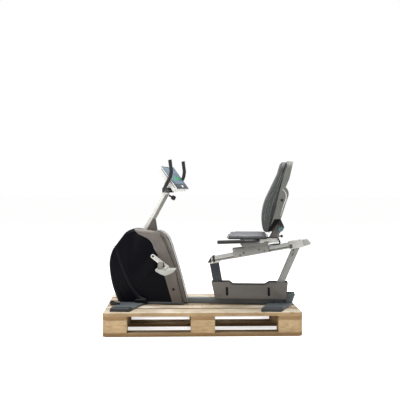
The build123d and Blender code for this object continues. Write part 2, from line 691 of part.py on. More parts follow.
for suffix, side in (("left", -1), ("right", 1)):
    pedal_x, pedal_h = crank_point(side)
    pedal_plane = Plane(
        origin=(pedal_x, side * (PEDAL_INNER + PEDAL_WIDTH / 2), DECK_TOP + pedal_h),
        x_dir=(1, 0, 0),
        z_dir=(0, -1, 0),
    )
    half_length = PEDAL_LENGTH / 2
    with BuildPart() as pedal_body:
        with BuildSketch(pedal_plane):
            with BuildLine():
                Line((-half_length, 0), (half_length, 0))
                Line((half_length, 0), (half_length, -PEDAL_EDGE))
                ThreePointArc(
                    (half_length, -PEDAL_EDGE),
                    (half_length / 2, -0.72 * PEDAL_DEPTH),
                    (0, -PEDAL_DEPTH),
                )
                ThreePointArc(
                    (0, -PEDAL_DEPTH),
                    (-half_length / 2, -0.72 * PEDAL_DEPTH),
                    (-half_length, -PEDAL_EDGE),
                )
                Line((-half_length, -PEDAL_EDGE), (-half_length, 0))
            make_face()
            Circle(PEDAL_BARREL_R)
            Circle(PEDAL_PIN_R + RUN_FIT, mode=Mode.SUBTRACT)
        extrude(amount=PEDAL_WIDTH / 2, both=True)
    pedal_body.part.label = f"pedal_body_{suffix}"
    export_step(pedal_body.part, f"parts/pedal_body_{suffix}.step")

    with BuildPart() as pedal_strap:
        strap_plane = Plane(
            origin=(pedal_x, side * (PEDAL_INNER + PEDAL_WIDTH / 2), DECK_TOP + pedal_h),
            x_dir=(0, 1, 0),
            z_dir=(1, 0, 0),
        )
        strap_half = PEDAL_WIDTH / 2
        with BuildSketch(strap_plane.offset(-PEDAL_BARREL_R - STRAP_WIDTH - 1)):
            with BuildLine():
                ThreePointArc((-strap_half, 0), (0, STRAP_RISE), (strap_half, 0))
                Line((strap_half, 0), (strap_half - STRAP_T, 0))
                ThreePointArc((strap_half - STRAP_T, 0), (0, STRAP_RISE - STRAP_T), (STRAP_T - strap_half, 0))
                Line((STRAP_T - strap_half, 0), (-strap_half, 0))
            make_face()
        extrude(amount=STRAP_WIDTH)
    pedal_strap.part.label = f"pedal_strap_{suffix}"
    export_step(pedal_strap.part, f"parts/pedal_strap_{suffix}.step")

# ---------------------------------------------------------------- mast
MAST_COS = math.cos(math.radians(MAST_LEAN))
MAST_SIN = math.sin(math.radians(MAST_LEAN))
MAST_SECTION = Plane(
    origin=(MAST_X_AT_BOOT, 0, DECK_TOP + BOOT_TOP_H),
    x_dir=(MAST_COS, 0, -MAST_SIN),
    z_dir=(MAST_SIN, 0, MAST_COS),
)
TOP_LINE_X = SHELL_TOP_REAR[0] - SHELL_TOP_FRONT[0]
TOP_LINE_H = SHELL_TOP_REAR[1] - SHELL_TOP_FRONT[1]
BOOT_BASE_X = SHELL_TOP_REAR[0] - BOOT_BASE_LENGTH / 2
BOOT_BASE_H = SHELL_TOP_FRONT[1] + TOP_LINE_H * (BOOT_BASE_X - SHELL_TOP_FRONT[0]) / TOP_LINE_X
BOOT_BASE = Plane(
    origin=(BOOT_BASE_X, 0, DECK_TOP + BOOT_BASE_H),
    x_dir=(TOP_LINE_X, 0, TOP_LINE_H),
    z_dir=(-TOP_LINE_H, 0, TOP_LINE_X),
)
with BuildPart() as mast_boot:
    with BuildSketch(BOOT_BASE):
        RectangleRounded(BOOT_BASE_LENGTH, BOOT_BASE_WIDTH, MAST_CORNER_R)
    with BuildSketch(MAST_SECTION):
        RectangleRounded(MAST_DEPTH + 2, MAST_WIDTH + 2, MAST_CORNER_R)
    loft()
mast_boot.part.label = "mast_boot"
export_step(mast_boot.part, "parts/mast_boot.step")

with BuildPart() as mast_tube:
    with BuildSketch(MAST_SECTION):
        RectangleRounded(MAST_DEPTH, MAST_WIDTH, MAST_CORNER_R)
    extrude(amount=(MAST_TOP_H - BOOT_TOP_H) / MAST_COS + MAST_DEPTH)
    with BuildSketch(DECK.offset(MAST_TOP_H)):
        with Locations((MAST_TOP_X, 0)):
            Rectangle(4 * MAST_DEPTH, 4 * MAST_WIDTH)
    extrude(amount=4 * MAST_DEPTH, mode=Mode.SUBTRACT)
mast_tube.part.label = "mast_tube"
export_step(mast_tube.part, "parts/mast_tube.step")

with BuildPart() as mast_collar:
    with BuildSketch(DECK.offset(MAST_TOP_H)):
        with Locations((MAST_TOP_X, 0)):
            Circle(COLLAR_R)
    extrude(amount=COLLAR_HEIGHT)
    with BuildSketch(DECK.offset(MAST_TOP_H + COLLAR_HEIGHT)):
        with Locations((MAST_TOP_X, 0)):
            Circle(HEAD_PIN_R)
    extrude(amount=HEAD_PIN_HEIGHT)
mast_collar.part.label = "mast_collar"
export_step(mast_collar.part, "parts/mast_collar.step")

KNOB_AXIS = Plane(
    origin=(MAST_TOP_X, 0, DECK_TOP + MAST_TOP_H + CLAMP_RISE),
    x_dir=(0, 1, 0),
    z_dir=(MAST_COS, 0, -MAST_SIN),
)
with BuildPart() as clamp_knob:
    with BuildSketch(KNOB_AXIS):
        Circle(CLAMP_STEM_R)
    extrude(amount=CLAMP_KNOB_OUT)
    with BuildSketch(KNOB_AXIS.offset(CLAMP_KNOB_OUT)):
        Circle(CLAMP_KNOB_R)
    extrude(amount=CLAMP_KNOB_LENGTH)
    chamfer(clamp_knob.faces().sort_by(Axis.X)[-1].edges(), length=3)
    add(mast_tube.part, mode=Mode.SUBTRACT)
    add(mast_collar.part, mode=Mode.SUBTRACT)
clamp_knob.part.label = "clamp_knob"
export_step(clamp_knob.part, "parts/clamp_knob.step")

# ---------------------------------------------------------------- head
HUB_BOTTOM = MAST_TOP_H + COLLAR_HEIGHT + SLIDE_FIT
BAR_H = HUB_BOTTOM + HUB_HEIGHT / 2
with BuildPart() as head_hub:
    with BuildSketch(HEAD.offset(HUB_BOTTOM)):
        with Locations(((HUB_FRONT + HUB_REAR) / 2, 0)):
            RectangleRounded(HUB_REAR - HUB_FRONT, HUB_WIDTH, HUB_WIDTH / 4)
    extrude(amount=HUB_HEIGHT)
    with BuildSketch(HEAD.offset(HUB_BOTTOM)):
        Circle(HEAD_PIN_R + RUN_FIT)
    extrude(amount=HEAD_PIN_HEIGHT + SLIDE_FIT, mode=Mode.SUBTRACT)
    with BuildSketch(HEAD_SIDE):
        with Locations((BAR_BACK, BAR_H)):
            Circle(BAR_R)
    extrude(amount=HUB_WIDTH, both=True, mode=Mode.SUBTRACT)
head_hub.part.label = "head_hub"
export_step(head_hub.part, "parts/head_hub.step")

# Handlebar line on the left: (behind the pivot, out from the middle, height).
BAR_ROUTE = [(BAR_BACK, 0.0, BAR_H), (BAR_BACK, BAR_HALF_WIDTH, BAR_H)]
BAR_ROUTE += [(BAR_BACK + back, BAR_HALF_WIDTH, BAR_H + up) for back, up in BAR_CORNERS]
BAR_BENDS = (18.0, 60.0, 60.0)


def head_point(back, out, height):
    """World point of a place on the head."""
    return HEAD.from_local_coords(Vector(back, out, height))


bar_parts = {}
for side in (-1, 1):
    stations = [head_point(back, side * out, height) for back, out, height in BAR_ROUTE]
    with BuildPart() as bar_half:
        with BuildLine() as bar_line:
            FilletPolyline(*stations, radius=BAR_BENDS)
        with BuildSketch(Plane(origin=bar_line.line @ 0, z_dir=bar_line.line % 0)):
            Circle(BAR_R)
        sweep()
    bar_parts[side] = bar_half.part

with BuildPart() as handlebar:
    add(bar_parts[-1])
    add(bar_parts[1])
handlebar.part.label = "handlebar"
export_step(handlebar.part, "parts/handlebar.step")

with BuildPart() as bar_grips:
    for side in (-1, 1):
        stations = [head_point(back, side * out, height) for back, out, height in BAR_ROUTE[1:]]
        start = stations[0] + (stations[1] - stations[0]) * 0.35
        with BuildLine() as grip_line:
            FilletPolyline(start, *stations[1:], radius=BAR_BENDS[1:])
        with BuildSketch(Plane(origin=grip_line.line @ 0, z_dir=grip_line.line % 0)):
            Circle(GRIP_R)
        sweep()
        with BuildSketch(Plane(origin=grip_line.line @ 1, z_dir=grip_line.line % 1)):
            Circle(GRIP_R)
        extrude(amount=3)
    add(handlebar.part, mode=Mode.SUBTRACT)
bar_grips.part.label = "handlebar_grips"
export_step(bar_grips.part, "parts/handlebar_grips.step")

HUB_TOP = HUB_BOTTOM + HUB_HEIGHT
CONSOLE_H = HUB_TOP + CONSOLE_RISE
FACE_COS = math.cos(math.radians(CONSOLE_TILT))
FACE_SIN = math.sin(math.radians(CONSOLE_TILT))
CONSOLE_FACE = Plane(
    origin=head_point(CONSOLE_BACK, 0, CONSOLE_H),
    x_dir=HEAD_Y_DIR,
    z_dir=(FACE_SIN * HEAD_X_DIR[0], FACE_SIN * HEAD_X_DIR[1], FACE_COS),
)
with BuildPart() as console_shell:
    with BuildSketch(CONSOLE_FACE):
        RectangleRounded(CONSOLE_WIDTH, CONSOLE_HEIGHT, CONSOLE_CORNER_R)
    extrude(amount=-CONSOLE_T, taper=12)
    with BuildSketch(CONSOLE_FACE):
        RectangleRounded(
            CONSOLE_WIDTH - 2 * SCREEN_MARGIN,
            CONSOLE_HEIGHT - 2 * SCREEN_MARGIN,
            CONSOLE_CORNER_R - SCREEN_MARGIN / 2,
        )
    extrude(amount=-SCREEN_T, mode=Mode.SUBTRACT)
console_shell.part.label = "console_shell"
export_step(console_shell.part, "parts/console_shell.step")

with BuildPart() as console_screen:
    with BuildSketch(CONSOLE_FACE):
        RectangleRounded(
            CONSOLE_WIDTH - 2 * SCREEN_MARGIN,
            CONSOLE_HEIGHT - 2 * SCREEN_MARGIN,
            CONSOLE_CORNER_R - SCREEN_MARGIN / 2,
        )
    extrude(amount=-SCREEN_T)
console_screen.part.label = "console_screen"
export_step(console_screen.part, "parts/console_screen.step")

# The console's arm rises from the hub to the back of the console.
BACK_FACE = (CONSOLE_BACK - CONSOLE_T * FACE_SIN, CONSOLE_H - CONSOLE_T * FACE_COS)
ARM_SHIFT = (0.22 * CONSOLE_HEIGHT * FACE_COS, -0.22 * CONSOLE_HEIGHT * FACE_SIN)
with BuildPart() as console_arm:
    with BuildSketch(HEAD_SIDE):
        with BuildLine():
            Polyline(
                (HUB_FRONT + 8, HUB_TOP),
                (BACK_FACE[0] - ARM_SHIFT[0], BACK_FACE[1] - ARM_SHIFT[1]),
                (BACK_FACE[0] + ARM_SHIFT[0], BACK_FACE[1] + ARM_SHIFT[1]),
                (HUB_REAR - 4, HUB_TOP),
                close=True,
            )
        make_face()
    extrude(amount=CONSOLE_ARM_WIDTH / 2, both=True)
console_arm.part.label = "console_arm"
export_step(console_arm.part, "parts/console_arm.step")

# ---------------------------------------------------------------- base box and posts
BASE_TOP_H = BEAM_TOP + BASE_SHOULDER_HEIGHT
BASE_MIDDLE_H = BEAM_TOP + BASE_MIDDLE_HEIGHT
with BuildPart() as base_box:
    with BuildSketch(SIDE):
        with BuildLine():
            Polyline(
                (BASE_BOTTOM[0], BEAM_TOP),
                (BASE_TOP[0], BASE_TOP_H),
                (BASE_SHOULDERS[0], BASE_TOP_H),
                (BASE_SHOULDERS[1], BASE_MIDDLE_H),
                (BASE_SHOULDERS[2], BASE_MIDDLE_H),
                (BASE_SHOULDERS[3], BASE_TOP_H),
                (BASE_TOP[1], BASE_TOP_H),
                (BASE_BOTTOM[1], BEAM_TOP),
                close=True,
            )
        make_face()
    extrude(amount=BASE_HALF_WIDTH, both=True)
    with BuildSketch(SIDE):
        with BuildLine():
            Polyline(
                (BASE_BOTTOM[0] + BASE_WALL, BASE_FLOOR),
                (BASE_TOP[0] + BASE_WALL, BASE_TOP_H + 1),
                (BASE_TOP[1] - BASE_WALL, BASE_TOP_H + 1),
                (BASE_BOTTOM[1] - BASE_WALL, BASE_FLOOR),
                close=True,
            )
        make_face()
    extrude(amount=BASE_HALF_WIDTH - BASE_WALL, both=True, mode=Mode.SUBTRACT)
    with BuildSketch(SIDE):
        for slot_x in SLOT_X:
            with Locations(Location((slot_x, BEAM_TOP + SLOT_BOTTOM + SLOT_HEIGHT / 2, 0), (0, 0, 92))):
                SlotOverall(SLOT_HEIGHT, SLOT_WIDTH)
    extrude(amount=2 * BASE_HALF_WIDTH, both=True, mode=Mode.SUBTRACT)
base_box.part.label = "base_box"
export_step(base_box.part, "parts/base_box.step")

with BuildPart() as slot_plugs:
    for slot_x in SLOT_X:
        for side in (-1, 1):
            with BuildSketch(SIDE.offset(side * (BASE_HALF_WIDTH - PLUG_RECESS))):
                with Locations(Location((slot_x, BEAM_TOP + SLOT_BOTTOM + SLOT_HEIGHT / 2, 0), (0, 0, 92))):
                    SlotOverall(SLOT_HEIGHT, SLOT_WIDTH)
            extrude(amount=-side * PLUG_T)
slot_plugs.part.label = "slot_plugs"
export_step(slot_plugs.part, "parts/slot_plugs.step")

RAIL_HALF = RAIL_HEIGHT / 2
with BuildPart() as front_post:
    # square to the rail, from the floor of the base box to the rail's underside
    top_along, top_above = side_to_rail(FRONT_POST_TOP_X, rail_height(FRONT_POST_TOP_X, -RAIL_HALF))
    with BuildSketch(RAIL):
        with Locations((top_along, -RAIL_HALF - RAIL_FRONT_H / 2)):
            Rectangle(FRONT_POST_DEPTH, RAIL_FRONT_H)
    extrude(amount=FRONT_POST_WIDTH / 2, both=True)
    with BuildSketch(SIDE):
        with Locations((FRONT_POST_TOP_X, BASE_FLOOR - RAIL_FRONT_H / 2)):
            Rectangle(4 * RAIL_FRONT_H, RAIL_FRONT_H)
    extrude(amount=FRONT_POST_WIDTH, both=True, mode=Mode.SUBTRACT)
front_post.part.label = "front_post"
export_step(front_post.part, "parts/front_post.step")

REAR_LEAN = math.tan(math.radians(REAR_POST_LEAN))
REAR_SPAN = REAR_POST_DEPTH / math.cos(math.radians(REAR_POST_LEAN)) / 2
REAR_TOP_H = rail_height(REAR_POST_TOP_X, -RAIL_HALF - SLEEVE_T)


def rear_post_x(height):
    """Middle of the rear post at a height."""
    return REAR_POST_TOP_X - (REAR_TOP_H - height) * REAR_LEAN


def post_top(edge):
    """Where one edge of the rear post meets the underside of the sleeve."""
    foot_x_at_floor = rear_post_x(BASE_FLOOR) + edge * REAR_SPAN
    slope = RAIL_SIN / RAIL_COS
    under = rail_height(foot_x_at_floor, -RAIL_HALF - SLEEVE_T)
    rise = (under - BASE_FLOOR) / (1 - slope * REAR_LEAN)
    return (foot_x_at_floor + rise * REAR_LEAN, BASE_FLOOR + rise)


with BuildPart() as rear_post:
    with BuildSketch(SIDE):
        with BuildLine():
            Polyline(
                (rear_post_x(BASE_FLOOR) - REAR_SPAN, BASE_FLOOR),
                post_top(-1),
                post_top(1),
                (rear_post_x(BASE_FLOOR) + REAR_SPAN, BASE_FLOOR),
                close=True,
            )
        make_face()
    extrude(amount=REAR_POST_WIDTH / 2, both=True)
rear_post.part.label = "rear_post"
export_step(rear_post.part, "parts/rear_post.step")

# ---------------------------------------------------------------- lifting handle
LIFT_PLATE_T = 5.0
LIFT_PLATE_Y = 42.0
LIFT_BAR_R = 8.0
LIFT_BAR_X = 592.0
LIFT_BAR_H = 60.0
LIFT_TOP_H = 74.0
LIFT_REAR_X = 609.0
with BuildPart() as lift_handle:
    for side in (-1, 1):
        with BuildSketch(SIDE.offset(-side * LIFT_PLATE_Y - LIFT_PLATE_T / 2)):
            with BuildLine():
                Polyline(
                    (BASE_BOTTOM[1] - 2, BEAM_TOP - 4),
                    (BASE_BOTTOM[1] + 7, LIFT_TOP_H),
                    (LIFT_REAR_X, LIFT_TOP_H),
                    (LIFT_REAR_X - 20, FOOT_TOP + 4),
                    (LIFT_REAR_X - 36, FOOT_TOP),
                    (BASE_BOTTOM[1] - 2, FOOT_TOP),
                    close=True,
                )
            make_face()
            with Locations((BASE_BOTTOM[1] + 18, LIFT_BAR_H - 14)):
                Circle(6, mode=Mode.SUBTRACT)
        extrude(amount=LIFT_PLATE_T)
    with BuildSketch(SIDE):
        with Locations((LIFT_BAR_X, LIFT_BAR_H)):
            Circle(LIFT_BAR_R)
    extrude(amount=LIFT_PLATE_Y, both=True)
    add(base_box.part, mode=Mode.SUBTRACT)
lift_handle.part.label = "lift_handle"
export_step(lift_handle.part, "parts/lift_handle.step")

# ---------------------------------------------------------------- seat rail
RAIL_ACROSS = Plane(RAIL.origin, x_dir=(0, 1, 0), z_dir=RAIL.x_dir)
with BuildPart() as seat_rail:
    with BuildSketch(RAIL):
        with Locations((RAIL_LENGTH / 2, 0)):
            Rectangle(RAIL_LENGTH, RAIL_HEIGHT)
    extrude(amount=RAIL_WIDTH / 2, both=True)
    with BuildSketch(RAIL):
        with Locations((RAIL_LENGTH / 2, 0)):
            Rectangle(RAIL_LENGTH, RAIL_HEIGHT - 2 * RAIL_WALL)
    extrude(amount=RAIL_WIDTH / 2 - RAIL_WALL, both=True, mode=Mode.SUBTRACT)
seat_rail.part.label = "seat_rail"
export_step(seat_rail.part, "parts/seat_rail.step")

COLLARS = (  # name, start along the rail, length, thickness
    ("rail_stop", STOP_START, STOP_LENGTH, STOP_T),
    ("rail_sleeve", SLEEVE_START, SLEEVE_LENGTH, SLEEVE_T),
)
for name, start, length, thickness in COLLARS:
    with BuildPart() as rail_collar:
        with BuildSketch(RAIL):
            with Locations((start + length / 2, thickness / 2 if name == "rail_stop" else 0)):
                Rectangle(length, RAIL_HEIGHT + (thickness if name == "rail_stop" else 2 * thickness))
        extrude(amount=RAIL_WIDTH / 2 + thickness, both=True)
        with BuildSketch(RAIL):
            with Locations((RAIL_LENGTH / 2, 0)):
                Rectangle(RAIL_LENGTH, RAIL_HEIGHT)
        extrude(amount=RAIL_WIDTH / 2, both=True, mode=Mode.SUBTRACT)
    rail_collar.part.label = name
    export_step(rail_collar.part, f"parts/{name}.step")

with BuildPart() as rail_end_caps:
    with BuildSketch(RAIL):
        with BuildLine():
            Polyline(
                (0, RAIL_HALF),
                (-NOSE_LENGTH, -0.65 * RAIL_HALF),
                (-NOSE_LENGTH, -RAIL_HALF),
                (0, -RAIL_HALF),
                close=True,
            )
        make_face()
    extrude(amount=RAIL_WIDTH / 2, both=True)
    with BuildSketch(RAIL):
        with BuildLine():
            Polyline(
                (RAIL_LENGTH, RAIL_HALF + 3),
                (RAIL_LENGTH + 0.6 * RAIL_CAP_LENGTH, RAIL_HALF + 3),
                (RAIL_LENGTH + RAIL_CAP_LENGTH, -0.3 * RAIL_HALF),
                (RAIL_LENGTH + RAIL_CAP_LENGTH - 6, -RAIL_HALF),
                (RAIL_LENGTH, -RAIL_HALF - 3),
                close=True,
            )
        make_face()
    extrude(amount=RAIL_WIDTH / 2 + 2, both=True)
rail_end_caps.part.label = "rail_end_caps"
export_step(rail_end_caps.part, "parts/rail_end_caps.step")

# ---------------------------------------------------------------- seat carriage
def carriage_band(start, end, floor, lid):
    """Corners of a stretch of the carriage, from a level floor to lid below its top."""
    return [
        (start, floor),
        (start, carriage_rise(start) - lid),
        (end, carriage_rise(end) - lid),
        (end, floor),
    ]


with BuildPart() as carriage_box:
    with BuildSketch(RAIL):
        with BuildLine():
            Polyline(*carriage_band(CARRIAGE_START, CARRIAGE_END, -CARRIAGE_DROP, 0), close=True)
        make_face()
    extrude(amount=CARRIAGE_HALF_WIDTH, both=True)
    with BuildSketch(RAIL):
        with BuildLine():
            Polyline(
                *carriage_band(CARRIAGE_START - 1, CARRIAGE_END + 1, -CARRIAGE_DROP - 1, CARRIAGE_WALL),
                close=True,
            )
        make_face()
    extrude(amount=CARRIAGE_HALF_WIDTH - CARRIAGE_WALL, both=True, mode=Mode.SUBTRACT)
carriage_box.part.label = "carriage_box"
export_step(carriage_box.part, "parts/carriage_box.step")

GLIDE_STARTS = (CARRIAGE_START + GLIDE_INSET, CARRIAGE_END - GLIDE_INSET - GLIDE_LENGTH)
with BuildPart() as carriage_glides:
    for start in GLIDE_STARTS:
        with BuildSketch(RAIL):
            with BuildLine():
                Polyline(
                    *carriage_band(start, start + GLIDE_LENGTH, -CARRIAGE_DROP, CARRIAGE_WALL),
                    close=True,
                )
            make_face()
        extrude(amount=CARRIAGE_HALF_WIDTH - CARRIAGE_WALL, both=True)
    with BuildSketch(RAIL):
        with Locations((RAIL_LENGTH / 2, 0)):
            Rectangle(RAIL_LENGTH, RAIL_HEIGHT + 2 * SLIDE_FIT)
    extrude(amount=RAIL_WIDTH / 2 + SLIDE_FIT, both=True, mode=Mode.SUBTRACT)
carriage_glides.part.label = "carriage_glides"
export_step(carriage_glides.part, "parts/carriage_glides.step")


with BuildPart() as seat_frame:
    with BuildSketch(SIDE):
        with BuildLine():
            Polyline(
                (FRAME_SEAT_FRONT, carriage_top(FRAME_SEAT_FRONT)),
                (FRAME_FRONT_X, carriage_top(FRAME_FRONT_X) + 25),
                (FRAME_FRONT_X, FRAME_TOP_H),
                (FRAME_REAR_X, FRAME_TOP_H),
                (FRAME_REAR_X, FRAME_TOP_H - 26),
                (FRAME_SEAT_REAR + 10, FRAME_TOP_H - 30),
                (FRAME_SEAT_REAR, carriage_top(FRAME_SEAT_REAR)),
                close=True,
            )
        make_face()
    extrude(amount=FRAME_HALF_WIDTH, both=True)
    with BuildSketch(SIDE):
        with BuildLine():
            Polyline(
                (FRAME_FRONT_X - 1, carriage_top(FRAME_FRONT_X) - 20),
                (FRAME_FRONT_X - 1, FRAME_TOP_H - FRAME_WALL),
                (FRAME_REAR_X + 1, FRAME_TOP_H - FRAME_WALL),
                (FRAME_REAR_X + 1, carriage_top(FRAME_REAR_X) - 20),
                close=True,
            )
        make_face()
    extrude(amount=CARRIAGE_HALF_WIDTH - FRAME_WALL, both=True, mode=Mode.SUBTRACT)
seat_frame.part.label = "seat_frame"
export_step(seat_frame.part, "parts/seat_frame.step")

with BuildPart() as seat_side_brackets:
    for side in (-1, 1):
        with BuildSketch(SIDE.offset(-side * (FRAME_HALF_WIDTH + BRACKET_T / 2))):
            with BuildLine():
                Polyline(
                    (FRAME_REAR_X - 146, FRAME_TOP_H - 1),
                    (FRAME_REAR_X - 144, FRAME_TOP_H - 6),
                    (FRAME_REAR_X - 130, FRAME_TOP_H - 20),
                    (FRAME_REAR_X - 121, FRAME_TOP_H - 32),
                    (FRAME_REAR_X - 101, FRAME_TOP_H - 30),
                    (FRAME_REAR_X - 91, FRAME_TOP_H - 21),
                    (FRAME_REAR_X - 76, FRAME_TOP_H - 20),
                    (FRAME_REAR_X - 26, FRAME_TOP_H - 30),
                    (FRAME_REAR_X, FRAME_TOP_H - 25),
                    (FRAME_REAR_X, FRAME_TOP_H - 1),
                    close=True,
                )
            make_face()
        extrude(amount=BRACKET_T / 2, both=True)
seat_side_brackets.part.label = "seat_side_brackets"
export_step(seat_side_brackets.part, "parts/seat_side_brackets.step")

with BuildPart() as slide_lever:
    with BuildSketch(SIDE.offset(FRAME_HALF_WIDTH + BRACKET_T)):
        with BuildLine():
            ThreePointArc(
                (FRAME_REAR_X - 12, FRAME_TOP_H - 6),
                (FRAME_REAR_X - 2, FRAME_TOP_H - 18),
                (FRAME_REAR_X - 4, FRAME_TOP_H - 36),
            )
            Line((FRAME_REAR_X - 4, FRAME_TOP_H - 36), (FRAME_REAR_X + 4, FRAME_TOP_H - 36))
            ThreePointArc(
                (FRAME_REAR_X + 4, FRAME_TOP_H - 36),
                (FRAME_REAR_X + 6, FRAME_TOP_H - 16),
                (FRAME_REAR_X - 8, FRAME_TOP_H - 2),
            )
            Line((FRAME_REAR_X - 8, FRAME_TOP_H - 2), (FRAME_REAR_X - 12, FRAME_TOP_H - 6))
        make_face()
    extrude(amount=LEVER_T)
slide_lever.part.label = "slide_lever"
export_step(slide_lever.part, "parts/slide_lever.step")

SEAT_MIDDLE_X = (SEAT_REAR_X + SEAT_FRONT_X) / 2
with BuildPart() as seat_pan:
    with BuildSketch(DECK.offset(FRAME_TOP_H)):
        with Locations((SEAT_MIDDLE_X, 0)):
            RectangleRounded(SEAT_DEPTH - 2 * PAN_T, 2 * (SEAT_HALF_WIDTH - PAN_T), SEAT_CORNER_R)
    extrude(amount=PAN_T)
seat_pan.part.label = "seat_pan"
export_step(seat_pan.part, "parts/seat_pan.step")

with BuildPart() as seat_cushion:
    with BuildSketch(DECK.offset(FRAME_TOP_H + PAN_T + SOFT_FIT)):
        with Locations((SEAT_MIDDLE_X, 0)):
            RectangleRounded(SEAT_DEPTH, 2 * SEAT_HALF_WIDTH, SEAT_CORNER_R)
    extrude(amount=SEAT_CUSHION_T)
    fillet(seat_cushion.faces().sort_by(Axis.Z)[-1].edges(), SEAT_EDGE_R)
seat_cushion.part.label = "seat_cushion"
export_step(seat_cushion.part, "parts/seat_cushion.step")

# Side handles: a tube along each side of the seat that bends in to the seat frame.
HANDLE_SLOPE = (HANDLE_REAR_H - HANDLE_FRONT_H) / (HANDLE_REAR_X - HANDLE_FRONT_X)


def handle_height(x):
    """Height above the deck of a side handle's middle line at x."""
    return HANDLE_FRONT_H + (x - HANDLE_FRONT_X) * HANDLE_SLOPE


handle_parts = {}
for side in (-1, 1):
    handle_start = SEAT_FRONT_X - HANDLE_REACHES[side]
    stations = [
        (handle_start, side * HANDLE_Y, DECK_TOP + handle_height(handle_start)),
        (HANDLE_REAR_X, side * HANDLE_Y, DECK_TOP + HANDLE_REAR_H),
        (HANDLE_REAR_X, side * FRAME_HALF_WIDTH, DECK_TOP + HANDLE_REAR_H),
    ]
    with BuildPart() as handle_half:
        with BuildLine() as handle_line:
            FilletPolyline(*stations, radius=HANDLE_BEND_R)
        with BuildSketch(Plane(origin=handle_line.line @ 0, z_dir=handle_line.line % 0)):
            Circle(HANDLE_R)
        sweep()
    handle_parts[side] = handle_half.part

with BuildPart() as side_handles:
    add(handle_parts[-1])
    add(handle_parts[1])
    add(seat_side_brackets.part, mode=Mode.SUBTRACT)
side_handles.part.label = "side_handles"
export_step(side_handles.part, "parts/side_handles.step")

with BuildPart() as side_grips:
    for side in (-1, 1):
        handle_start = SEAT_FRONT_X - HANDLE_REACHES[side] - 4
        grip_start = Vector(handle_start, side * HANDLE_Y, DECK_TOP + handle_height(handle_start))
        grip_end = Vector(HANDLE_GRIP_END_X, side * HANDLE_Y, DECK_TOP + handle_height(HANDLE_GRIP_END_X))
        with BuildSketch(Plane(origin=grip_start, z_dir=grip_end - grip_start)):
            Circle(HANDLE_GRIP_R)
        extrude(amount=(grip_end - grip_start).length)
    add(side_handles.part, mode=Mode.SUBTRACT)
side_grips.part.label = "side_grips"
export_step(side_grips.part, "parts/side_grips.step")

# ---------------------------------------------------------------- recline hinge
HINGE_OUTER = HINGE_PLATE_Y + HINGE_PLATE_T
with BuildPart() as hinge_plates:
    for side in (-1, 1):
        with BuildSketch(SIDE.offset(-side * (HINGE_PLATE_Y + HINGE_PLATE_T / 2))):
            with BuildLine():
                Polyline(
                    (FRAME_REAR_X - 62, FRAME_TOP_H),
                    (PIVOT_X - 22, PIVOT_H + 30),
                    (PIVOT_X + 10, PIVOT_H + 19),
                    (PIVOT_X + 20, PIVOT_H + 8),
                    (PIVOT_X + 10, PIVOT_H - 12),
                    (PIVOT_X - 2, PIVOT_H - 24),
                    (FRAME_REAR_X - 10, FRAME_TOP_H),
                    close=True,
                )
            make_face()
            with Locations((PIVOT_X, PIVOT_H)):
                Circle(PIVOT_R, mode=Mode.SUBTRACT)
        extrude(amount=HINGE_PLATE_T / 2, both=True)
hinge_plates.part.label = "hinge_plates"
export_step(hinge_plates.part, "parts/hinge_plates.step")

with BuildPart() as recline_pin:
    with BuildSketch(SIDE.offset(-HINGE_OUTER - BRACKET_T)):
        with Locations((PIVOT_X, PIVOT_H)):
            Circle(PIVOT_R)
    extrude(amount=2 * (HINGE_OUTER + BRACKET_T))
    with BuildSketch(SIDE.offset(HINGE_OUTER + BRACKET_T)):
        with Locations((PIVOT_X, PIVOT_H)):
            Circle(RECLINE_KNOB_R)
    extrude(amount=RECLINE_KNOB_T)
    chamfer(recline_pin.faces().sort_by(Axis.Y)[0].edges(), length=3)
recline_pin.part.label = "recline_pin"
export_step(recline_pin.part, "parts/recline_pin.step")

BALL_X = PIVOT_X + 9
BALL_H = PIVOT_H - 45
BALL_PLANE = Plane(
    origin=(FRAME_REAR_X - 20, -HINGE_PLATE_Y - HINGE_PLATE_T / 2, DECK_TOP + BALL_H), x_dir=(0, 1, 0), z_dir=(1, 0, 0)
)
with BuildPart() as ball_knob:
    with BuildSketch(BALL_PLANE):
        Circle(BALL_STEM_R)
    extrude(amount=BALL_X - FRAME_REAR_X + 20)
    with Locations((BALL_X, -HINGE_PLATE_Y - HINGE_PLATE_T / 2, DECK_TOP + BALL_H)):
        Sphere(BALL_R)
    with BuildSketch(SIDE.offset(HINGE_PLATE_Y + HINGE_PLATE_T / 2)):
        with BuildLine():
            Polyline(
                (FRAME_REAR_X - 62, FRAME_TOP_H),
                (FRAME_REAR_X - 62, PIVOT_H),
                (PIVOT_X + 10, PIVOT_H),
                (PIVOT_X + 10, PIVOT_H - 12),
                (PIVOT_X - 2, PIVOT_H - 24),
                (FRAME_REAR_X - 10, FRAME_TOP_H),
                close=True,
            )
        make_face()
    extrude(amount=2 * BALL_R, both=True, mode=Mode.SUBTRACT)
ball_knob.part.label = "ball_knob"
export_step(ball_knob.part, "parts/ball_knob.step")

# ---------------------------------------------------------------- backrest
# Side-view points: the toe is where cushion and shell meet, the heel is the rear
# end of the shell's sloping underside.
BACK_TOE, SHELL_HEEL = backrest((-0.1779, -0.0433), (-0.0024, 0.1659))
SEAM = backrest((-0.0673, 0.3726), (0.0409, 0.8029), (0.0962, 1.0000))
BACK_FRONT = backrest(
    (0.0312, 1.0000),
    (-0.0240, 0.8173),
    (-0.2019, 0.4712),
    (-0.2740, 0.2139),
    (-0.2596, -0.0192),
    (-0.2308, -0.0457),
)
BACK_REAR = backrest(
    (0.0721, 0.4014),
    (0.1034, 0.4904),
    (0.1058, 0.5529),
    (0.0673, 0.6178),
    (0.1202, 0.7428),
    (0.1803, 0.9928),
)
SHELL_TOE = (BACK_TOE[0] + SOFT_FIT, BACK_TOE[1])
SHELL_SEAM = [(x + SOFT_FIT, h) for x, h in SEAM]

